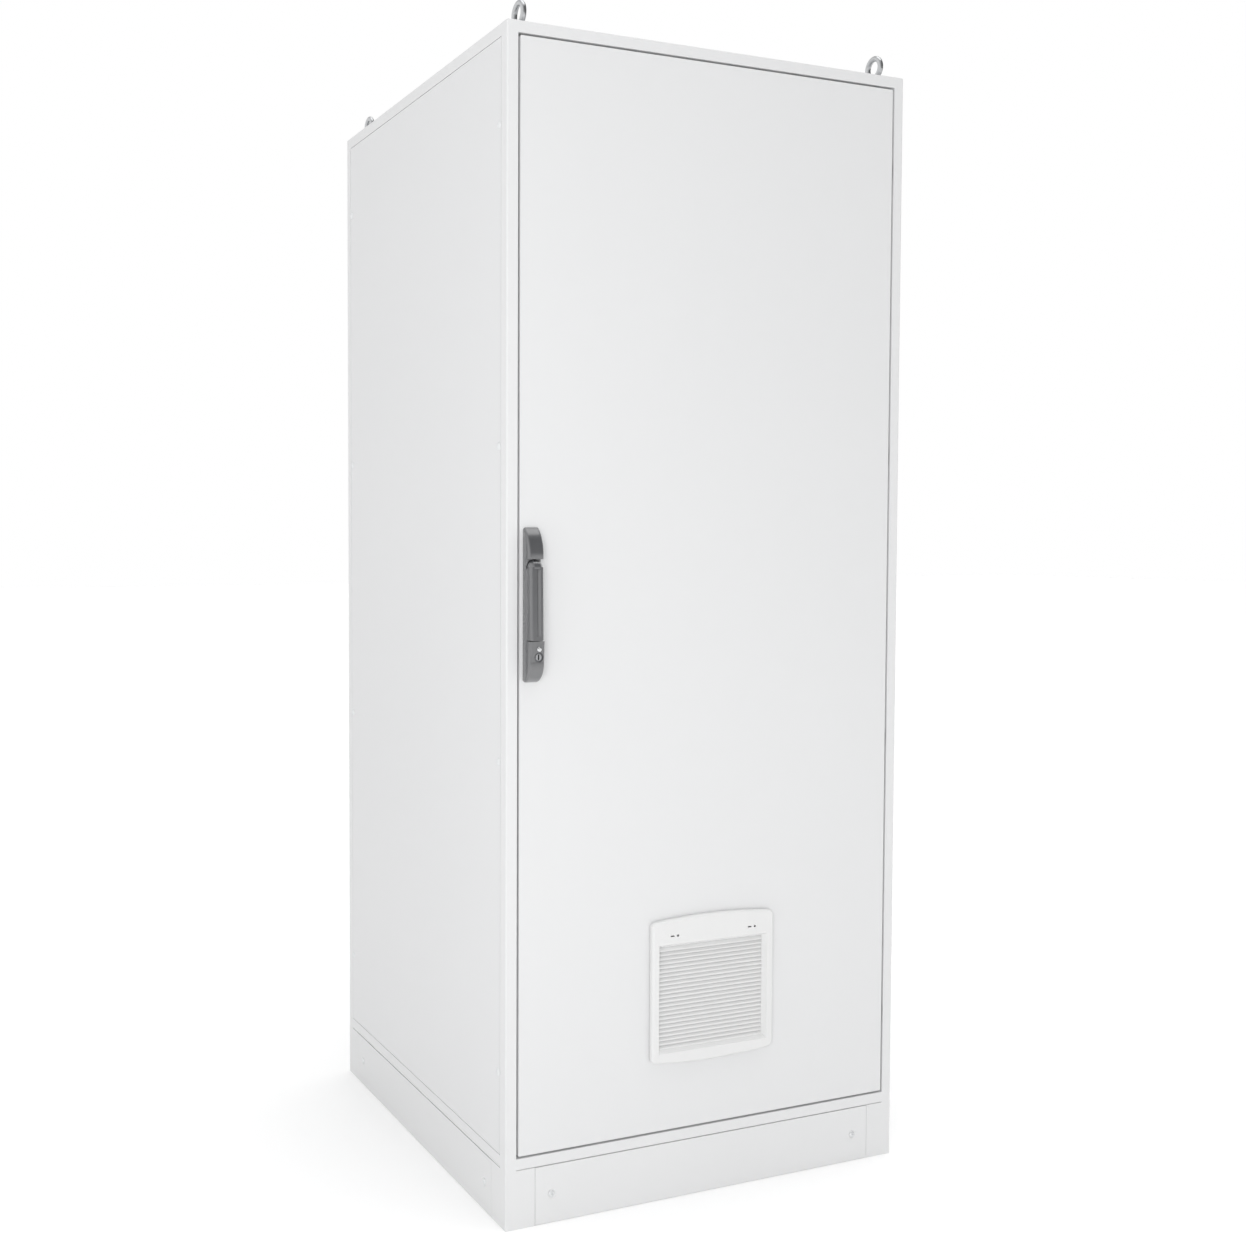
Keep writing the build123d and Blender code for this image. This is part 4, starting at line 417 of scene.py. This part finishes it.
galvanised = Finish("galvanised sheet", Metallic=0.9)
crystal = galvanised.add("TexVoronoi", {"feature": "F1"}, {"Vector": galvanised.place(), "Scale": 90.0},
                         output="Color")
facet = galvanised.add("SeparateColor", {}, {0: crystal}, output=0)
milky = galvanised.grain(14.0, detail=3.0)
frost = facet * 0.6 + milky * 0.4
galvanised.surface(Base_Color=galvanised.two_tones(frost, (0.46, 0.47, 0.49), (0.64, 0.65, 0.66)),
                   Roughness=0.30 + frost * 0.22)
galvanised.relief(facet, depth=0.00004)
galvanised.cover("floor_plate", "gland_plate", "mounting_strips", "shelf_runners", "din_rail", "door_rails",
                 *[f"battery_shelf_{number}" for number in (1, 2, 3, 4)])


# ---------------------------------------------------------------------------
# Breaker and terminals. A three-pole breaker with a black toggle bar and ten
# feed-through terminals, snapped on the rail near the cabinet's top, all
# moulded in plain thermoplastic. Each terminal has two clamping screws.

def moulded(name, light, shade, rough, texture=1400.0, depth=0.00003):
    """Moulded plastic with the fine grain of its tool."""
    plastic = Finish(name, Specular_IOR_Level=0.45)
    cloud = plastic.grain(30.0)
    fine = plastic.grain(texture, detail=3.0)
    plastic.surface(Base_Color=plastic.two_tones(cloud, light, shade), Roughness=rough + fine * 0.10)
    return plastic.relief(fine, depth=depth)


device_grey = moulded("device grey", (0.56, 0.57, 0.57), (0.52, 0.53, 0.53), 0.42)
device_grey.cover("battery_breaker")
toggle_black = moulded("toggle black", (0.012, 0.012, 0.013), (0.018, 0.018, 0.019), 0.25)
toggle_black.cover("breaker_toggle")
terminal_grey = moulded("terminal grey", (0.26, 0.27, 0.28), (0.22, 0.23, 0.24), 0.40)
terminal_grey.cover("terminal_blocks")

TERMINAL_PITCH = 0.012
FIRST_TERMINAL = 0.0459
RAIL_HEIGHT = 1.740
CLAMP_OFFSET = 0.016          # of a clamping screw, above and below the rail's middle
CLAMP_TOP = -0.0011           # top of the screw, below the terminal's face
clamp_screw = turned([(0.0022, -0.0024), (0.0022, -0.0016), (0.0018, -0.0012), (0.0006, CLAMP_TOP)],
                     "clamp screw", steps=20)
clamp_screw = carved(clamp_screw, cross_recess(0.0017, 0.0006, 0.0006, CLAMP_TOP))
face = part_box("terminal_blocks")[0].y
rows = [(FIRST_TERMINAL, face, RAIL_HEIGHT + side * CLAMP_OFFSET) for side in (-1, 1)]
fitted_screws("clamp_screws", clamp_screw, rows, (0, 0), 10, (TERMINAL_PITCH, 0, 0), screw_zinc, "cabinet",
              None)


# ---------------------------------------------------------------------------
# Door. One folded tray, flush with the frame and coated with it, hung on four
# concealed cast hinges. A foamed sealing bead runs round its inner lip.

door_coat = powder_coat("door powder coat", (0.752, 0.755, 0.759), (0.740, 0.744, 0.749))
door_coat.cover("door_panel")

cast_zinc = Finish("cast zinc", Metallic=0.85)
pits = cast_zinc.grain(420.0, detail=4.0)
cast_zinc.surface(Base_Color=cast_zinc.two_tones(pits, (0.34, 0.35, 0.36), (0.44, 0.45, 0.46)),
                  Roughness=0.44 + pits * 0.16)
cast_zinc.relief(pits, depth=0.00008)
cast_zinc.cover("hinge_frame_leaves", "hinge_door_leaves", "handle_hub", "drive_pinion", "gearbox_case")
screw_zinc.cover("hinge_pins", "lever_pin", "handle_screws", "vent_hinge_pins")


def bead_tree(name):
    """Node tree for a foamed bead laid along a closed path."""
    tree = bpy.data.node_groups.new(name, "GeometryNodeTree")
    tree.interface.new_socket("Geometry", in_out="INPUT", socket_type="NodeSocketGeometry")
    inputs = (("Width", "NodeSocketFloat"), ("Rise", "NodeSocketFloat"), ("Span X", "NodeSocketFloat"),
              ("Span Z", "NodeSocketFloat"), ("Corner", "NodeSocketFloat"), ("Place", "NodeSocketVector"),
              ("Finish", "NodeSocketMaterial"))
    for label, kind in inputs:
        tree.interface.new_socket(label, in_out="INPUT", socket_type=kind)
    tree.interface.new_socket("Geometry", in_out="OUTPUT", socket_type="NodeSocketGeometry")
    new, link = tree.nodes.new, tree.links.new
    given, result = new("NodeGroupInput"), new("NodeGroupOutput")
    path, rounded = new("GeometryNodeCurvePrimitiveQuadrilateral"), new("GeometryNodeFilletCurve")
    section = new("GeometryNodeCurvePrimitiveCircle")
    rounded.mode = "POLY"
    rounded.inputs["Count"].default_value = 6
    section.inputs["Resolution"].default_value = 20
    fine, flat = new("GeometryNodeResampleCurve"), new("GeometryNodeTransform")
    sweep = new("GeometryNodeCurveToMesh")
    fine.mode = "LENGTH"
    fine.inputs["Length"].default_value = 0.008
    stand, paint, halves = new("GeometryNodeTransform"), new("GeometryNodeSetMaterial"), new("ShaderNodeMath")
    halves.operation = "DIVIDE"
    halves.inputs[1].default_value = 2.0
    squeeze, ratio = new("ShaderNodeCombineXYZ"), new("ShaderNodeMath")
    ratio.operation = "DIVIDE"
    squeeze.inputs["X"].default_value = 1.0
    squeeze.inputs["Z"].default_value = 1.0
    stand.inputs["Rotation"].default_value = (math.radians(90), 0, 0)
    link(given.outputs["Span X"], path.inputs["Width"])
    link(given.outputs["Span Z"], path.inputs["Height"])
    link(path.outputs["Curve"], rounded.inputs["Curve"])
    link(given.outputs["Corner"], rounded.inputs["Radius"])
    link(rounded.outputs["Curve"], fine.inputs["Curve"])
    link(given.outputs["Width"], halves.inputs[0])
    link(halves.outputs[0], section.inputs["Radius"])
    link(given.outputs["Rise"], ratio.inputs[0])
    link(given.outputs["Width"], ratio.inputs[1])
    link(ratio.outputs[0], squeeze.inputs["Y"])
    link(section.outputs["Curve"], flat.inputs["Geometry"])
    link(squeeze.outputs["Vector"], flat.inputs["Scale"])
    link(fine.outputs["Curve"], sweep.inputs["Curve"])
    link(flat.outputs["Geometry"], sweep.inputs["Profile Curve"])
    link(sweep.outputs["Mesh"], stand.inputs["Geometry"])
    link(given.outputs["Place"], stand.inputs["Translation"])
    link(stand.outputs["Geometry"], paint.inputs["Geometry"])
    link(given.outputs["Finish"], paint.inputs["Material"])
    link(paint.outputs["Geometry"], result.inputs["Geometry"])
    return tree


seal_foam = Finish("seal foam", Specular_IOR_Level=0.3)
cells = seal_foam.grain(900.0, detail=4.0)
seal_foam.surface(Base_Color=seal_foam.two_tones(cells, (0.020, 0.020, 0.021), (0.034, 0.034, 0.036)),
                  Roughness=0.72 + cells * 0.15)
seal_foam.relief(cells, depth=0.00025)
low, high = [Vector(corner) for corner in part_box("door_gasket")]
BEAD_WIDTH = 0.009
BEAD_CORNER = 0.012
bead_sizes = {"Width": BEAD_WIDTH, "Rise": high.y - low.y, "Span X": high.x - low.x - BEAD_WIDTH,
              "Span Z": high.z - low.z - BEAD_WIDTH, "Corner": BEAD_CORNER,
              "Place": tuple((low + high) / 2), "Finish": seal_foam.material}
bead = made_by(bead_tree("foamed bead"), "sealing_bead", [(0, 0, 0)], [0], bead_sizes)
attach(bead, "door")
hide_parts("door_gasket")


# ---------------------------------------------------------------------------
# Swing handle. Base and lever moulded in dark grey glass-filled polyamide with
# a fine grain and a sheen; the lever turns on a cast hub and folds into the base.

handle_plastic = moulded("handle polyamide", (0.085, 0.087, 0.092), (0.073, 0.075, 0.080), 0.26,
                         texture=1100.0, depth=0.00006)
handle_plastic.surface(Specular_IOR_Level=1.0, Coat_Weight=1.0, Coat_Roughness=0.20, Coat_IOR=1.8)
handle_plastic.cover("handle_base", "handle_lever", "rod_guides")


# ---------------------------------------------------------------------------
# Key lock and release button, let into the handle's lock section: the chromed
# button above, below it the barrel and plug of dull nickel; in the upright
# keyway the colour turns dark below the plug's face, a painted shade in the slot.

lock_chrome = Finish("lock chrome", Metallic=1.0)
haze = lock_chrome.grain(300.0)
lock_chrome.surface(Base_Color=lock_chrome.two_tones(haze, (0.74, 0.75, 0.76), (0.80, 0.81, 0.82)),
                    Roughness=0.10 + haze * 0.08)
lock_chrome.relief(lock_chrome.grain(1800.0), depth=0.00001)
lock_chrome.cover("release_button")

lock_nickel = Finish("lock nickel", Metallic=1.0)
# Depths below the plug's face where the keyway's painted shade starts and where it is full.
KEYWAY_SHADE_START, KEYWAY_SHADE_FULL = 0.0003, 0.0012    # depths below the plug's face
plug_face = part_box("key_plug")[0].y
# Mask of painted shade that rises with depth below the plug's face, down into the keyway.
depth = lock_nickel.add("SeparateXYZ", {}, {0: lock_nickel.place()}, output=1)
inside = lock_nickel.add("MapRange", {}, {"Value": depth, "From Min": plug_face + KEYWAY_SHADE_START,
                                          "From Max": plug_face + KEYWAY_SHADE_FULL})
satin = lock_nickel.grain(300.0)
# Nickel at the face, turning to painted shade deep in the keyway.
lock_nickel.surface(Base_Color=lock_nickel.two_tones(inside, (0.52, 0.53, 0.54), (0.10, 0.10, 0.11)),
                    Roughness=0.24 + satin * 0.10)
lock_nickel.relief(lock_nickel.grain(1800.0), depth=0.00001)
lock_nickel.cover("lock_cylinder", "key_plug")


# ---------------------------------------------------------------------------
# Rod lock. The handle's square turns a pinion in a cast case behind the skin;
# two zinc-plated square rods with milled racks run to the top and bottom edge.

rod_zinc = Finish("rod zinc", Metallic=1.0)
drawn = rod_zinc.grain(220.0, detail=3.0, stretch=(6, 6, 0.25))
rod_zinc.surface(Base_Color=rod_zinc.two_tones(drawn, (0.60, 0.60, 0.58), (0.70, 0.70, 0.68)),
                 Roughness=0.26 + drawn * 0.16)
rod_zinc.relief(drawn, depth=0.00003)
rod_zinc.cover("upper_rod", "lower_rod")


# ---------------------------------------------------------------------------
# Air inlet. Housing and louvred cover moulded in light grey ABS; the cover
# snaps in at the top, tilts about two pins at its lower edge and gives access
# to a mat of white filter fleece.

inlet_plastic = moulded("inlet ABS", (0.772, 0.773, 0.771), (0.758, 0.760, 0.759), 0.42,
                        texture=1000.0, depth=0.00005)
inlet_plastic.cover("vent_housing", "vent_cover")

fleece = Finish("filter fleece", Specular_IOR_Level=0.2)
strands = fleece.grain(420.0, detail=5.0, stretch=(1, 0.4, 2.4))
cross = fleece.grain(380.0, detail=5.0, stretch=(2.2, 0.4, 1))
felted = strands * 0.5 + cross * 0.5
fleece.surface(Base_Color=fleece.two_tones(felted, (0.93, 0.93, 0.91), (0.97, 0.97, 0.95)),
               Roughness=0.85 + felted * 0.10)
fleece.relief(felted, depth=0.0007)


def fleece_mat(name, low, high):
    """Mat with soft edges and an uneven felted face, kept inside its box."""
    size = high - low
    middle_x, middle_y, middle_z = [(first + last) / 2 for first, last in zip(low, high)]
    across, soft, felting, tufts = 72, 0.004, 0.0012, 120
    mesh = bmesh.new()
    faces = []
    for side in (-1, 1):
        grid = []
        for row in range(across + 1):
            line = []
            for column in range(across + 1):
                u, v = 2 * column / across - 1, 2 * row / across - 1
                x, z = u * size.x / 2, v * size.z / 2
                edge = min(size.x / 2 - abs(x), size.z / 2 - abs(z))
                sink = soft * max(0.0, 1 - edge / soft) ** 2
                tuft = 0.5 + 0.5 * noise.noise(Vector((x, side * 0.02, z)) * tufts)
                depth = size.y / 2 - sink - felting * tuft * min(1.0, edge / soft)
                line.append(mesh.verts.new((middle_x + x, middle_y + side * depth, middle_z + z)))
            grid.append(line)
        faces.append(grid)
        for row in range(across):
            for column in range(across):
                mesh.faces.new((grid[row][column], grid[row][column + 1], grid[row + 1][column + 1],
                                grid[row + 1][column]))
    front, back = faces
    rim = [(0, step) for step in range(across)] + [(step, across) for step in range(across)] + \
          [(across, across - step) for step in range(across)] + [(across - step, 0) for step in range(across)]
    for (row, column), (next_row, next_column) in zip(rim, rim[1:] + rim[:1]):
        mesh.faces.new((front[row][column], front[next_row][next_column], back[next_row][next_column],
                        back[row][column]))
    mat = closed_solid(mesh, name)
    for polygon in mat.data.polygons:
        polygon.use_smooth = True
    bpy.context.scene.collection.objects.link(mat)
    return mat


mat = fleece_mat("filter_fleece_mat", *[Vector(corner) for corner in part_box("filter_mat")])
mat.data.materials.append(fleece.material)
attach(mat, "door")
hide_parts("filter_mat")


# ---------------------------------------------------------------------------
# Studio. A white floor that runs out to a white surround, a soft light from
# the front left that gloss does not mirror, a very wide one from above, and
# the camera.

FLOOR_REACH = 30
floor_data = bpy.data.meshes.new("studio floor")
floor_data.from_pydata([(-FLOOR_REACH, -FLOOR_REACH, 0), (FLOOR_REACH, -FLOOR_REACH, 0),
                        (FLOOR_REACH, FLOOR_REACH, 0), (-FLOOR_REACH, FLOOR_REACH, 0)], [], [(0, 1, 2, 3)])
floor = bpy.data.objects.new("studio_floor", floor_data)
bpy.context.scene.collection.objects.link(floor)
floor_white = Finish("floor white", Specular_IOR_Level=0.1, Emission_Strength=0.06)
sweep = floor_white.grain(0.6)
backlit = floor_white.add("LightPath")
floor_white.surface(Base_Color=floor_white.two_tones(sweep, (0.95, 0.95, 0.95), (0.96, 0.96, 0.96)),
                    Emission_Color=floor_white.two_tones(backlit, (0.0, 0.0, 0.0), (1.0, 1.0, 1.0)),
                    Roughness=0.85 + sweep * 0.05)
floor_data.materials.append(floor_white.material)


def soft_light(name, place, aim, size, power):
    lamp = bpy.data.lights.new(name, "AREA")
    lamp.shape = "RECTANGLE"
    lamp.size, lamp.size_y = size
    lamp.energy = power
    light = bpy.data.objects.new(name, lamp)
    bpy.context.scene.collection.objects.link(light)
    light.location = place
    light.rotation_euler = (Vector(aim) - Vector(place)).to_track_quat("-Z", "Y").to_euler()
    return light


key_light = soft_light("key light", (-2.0, -2.8, 1.4), (0.0, -0.4, 1.0), (1.4, 1.4), 31)
key_light.visible_glossy = False

overhead = bpy.data.objects.new("overhead light", bpy.data.lights.new("overhead light", "SUN"))
overhead.data.energy = 1.29
overhead.data.angle = math.radians(60)
bpy.context.scene.collection.objects.link(overhead)
overhead.rotation_euler = Vector((0.15, 0.02, 1.0)).to_track_quat("Z", "Y").to_euler()

world = bpy.data.worlds.new("white surround")
bpy.context.scene.world = world
world.use_nodes = True
sky = world.node_tree
sky.nodes.clear()


def sky_node(kind, **values):
    node = sky.nodes.new("ShaderNode" + kind)
    for name, value in values.items():
        node.inputs[name.replace("_", " ")].default_value = value
    return node


# Three surrounds: one that lights the pieces, one that gloss mirrors, shaded
# from bright to dim along one direction, and a plain white one that is seen.
WHITE = (1.0, 1.0, 1.0, 1.0)
BRIGHT_SIDE = (-0.75, 0.35, -0.45)
way = sky_node("TexCoord").outputs["Generated"]
lit = sky_node("Background", Color=WHITE, Strength=0.635)
lean = sky.nodes.new("ShaderNodeVectorMath")
lean.operation = "DOT_PRODUCT"
lean.inputs[1].default_value = BRIGHT_SIDE
sky.links.new(way, lean.inputs[0])
shine = sky_node("MapRange", From_Min=-0.60, From_Max=0.45, To_Min=0.12, To_Max=1.05)
sky.links.new(lean.outputs["Value"], shine.inputs["Value"])
mirrored = sky_node("Background", Color=WHITE)
sky.links.new(shine.outputs["Result"], mirrored.inputs["Strength"])
seen = sky_node("Background", Color=WHITE, Strength=1.0)
ray = sky_node("LightPath")
gloss = sky_node("MixShader")
sky.links.new(ray.outputs["Is Glossy Ray"], gloss.inputs["Fac"])
sky.links.new(lit.outputs["Background"], gloss.inputs[1])
sky.links.new(mirrored.outputs["Background"], gloss.inputs[2])
view = sky_node("MixShader")
sky.links.new(ray.outputs["Is Camera Ray"], view.inputs["Fac"])
sky.links.new(gloss.outputs["Shader"], view.inputs[1])
sky.links.new(seen.outputs["Background"], view.inputs[2])
sky.links.new(view.outputs["Shader"], sky_node("OutputWorld").inputs["Surface"])

optics = bpy.data.cameras.new("camera")
optics.sensor_width = 36.0
optics.lens = 42.05
optics.shift_x = 0.1365
optics.shift_y = -0.0208
optics.clip_end = 200.0
camera = bpy.data.objects.new("camera", optics)
bpy.context.scene.collection.objects.link(camera)
camera.location = (-1.41297, -2.56363, 1.16698)
ahead = Vector((0.39013, 0.91975, -0.04319))
camera.rotation_euler = ahead.to_track_quat("-Z", "Y").to_euler()
bpy.context.scene.camera = camera
bpy.context.scene.view_settings.view_transform = "Standard"
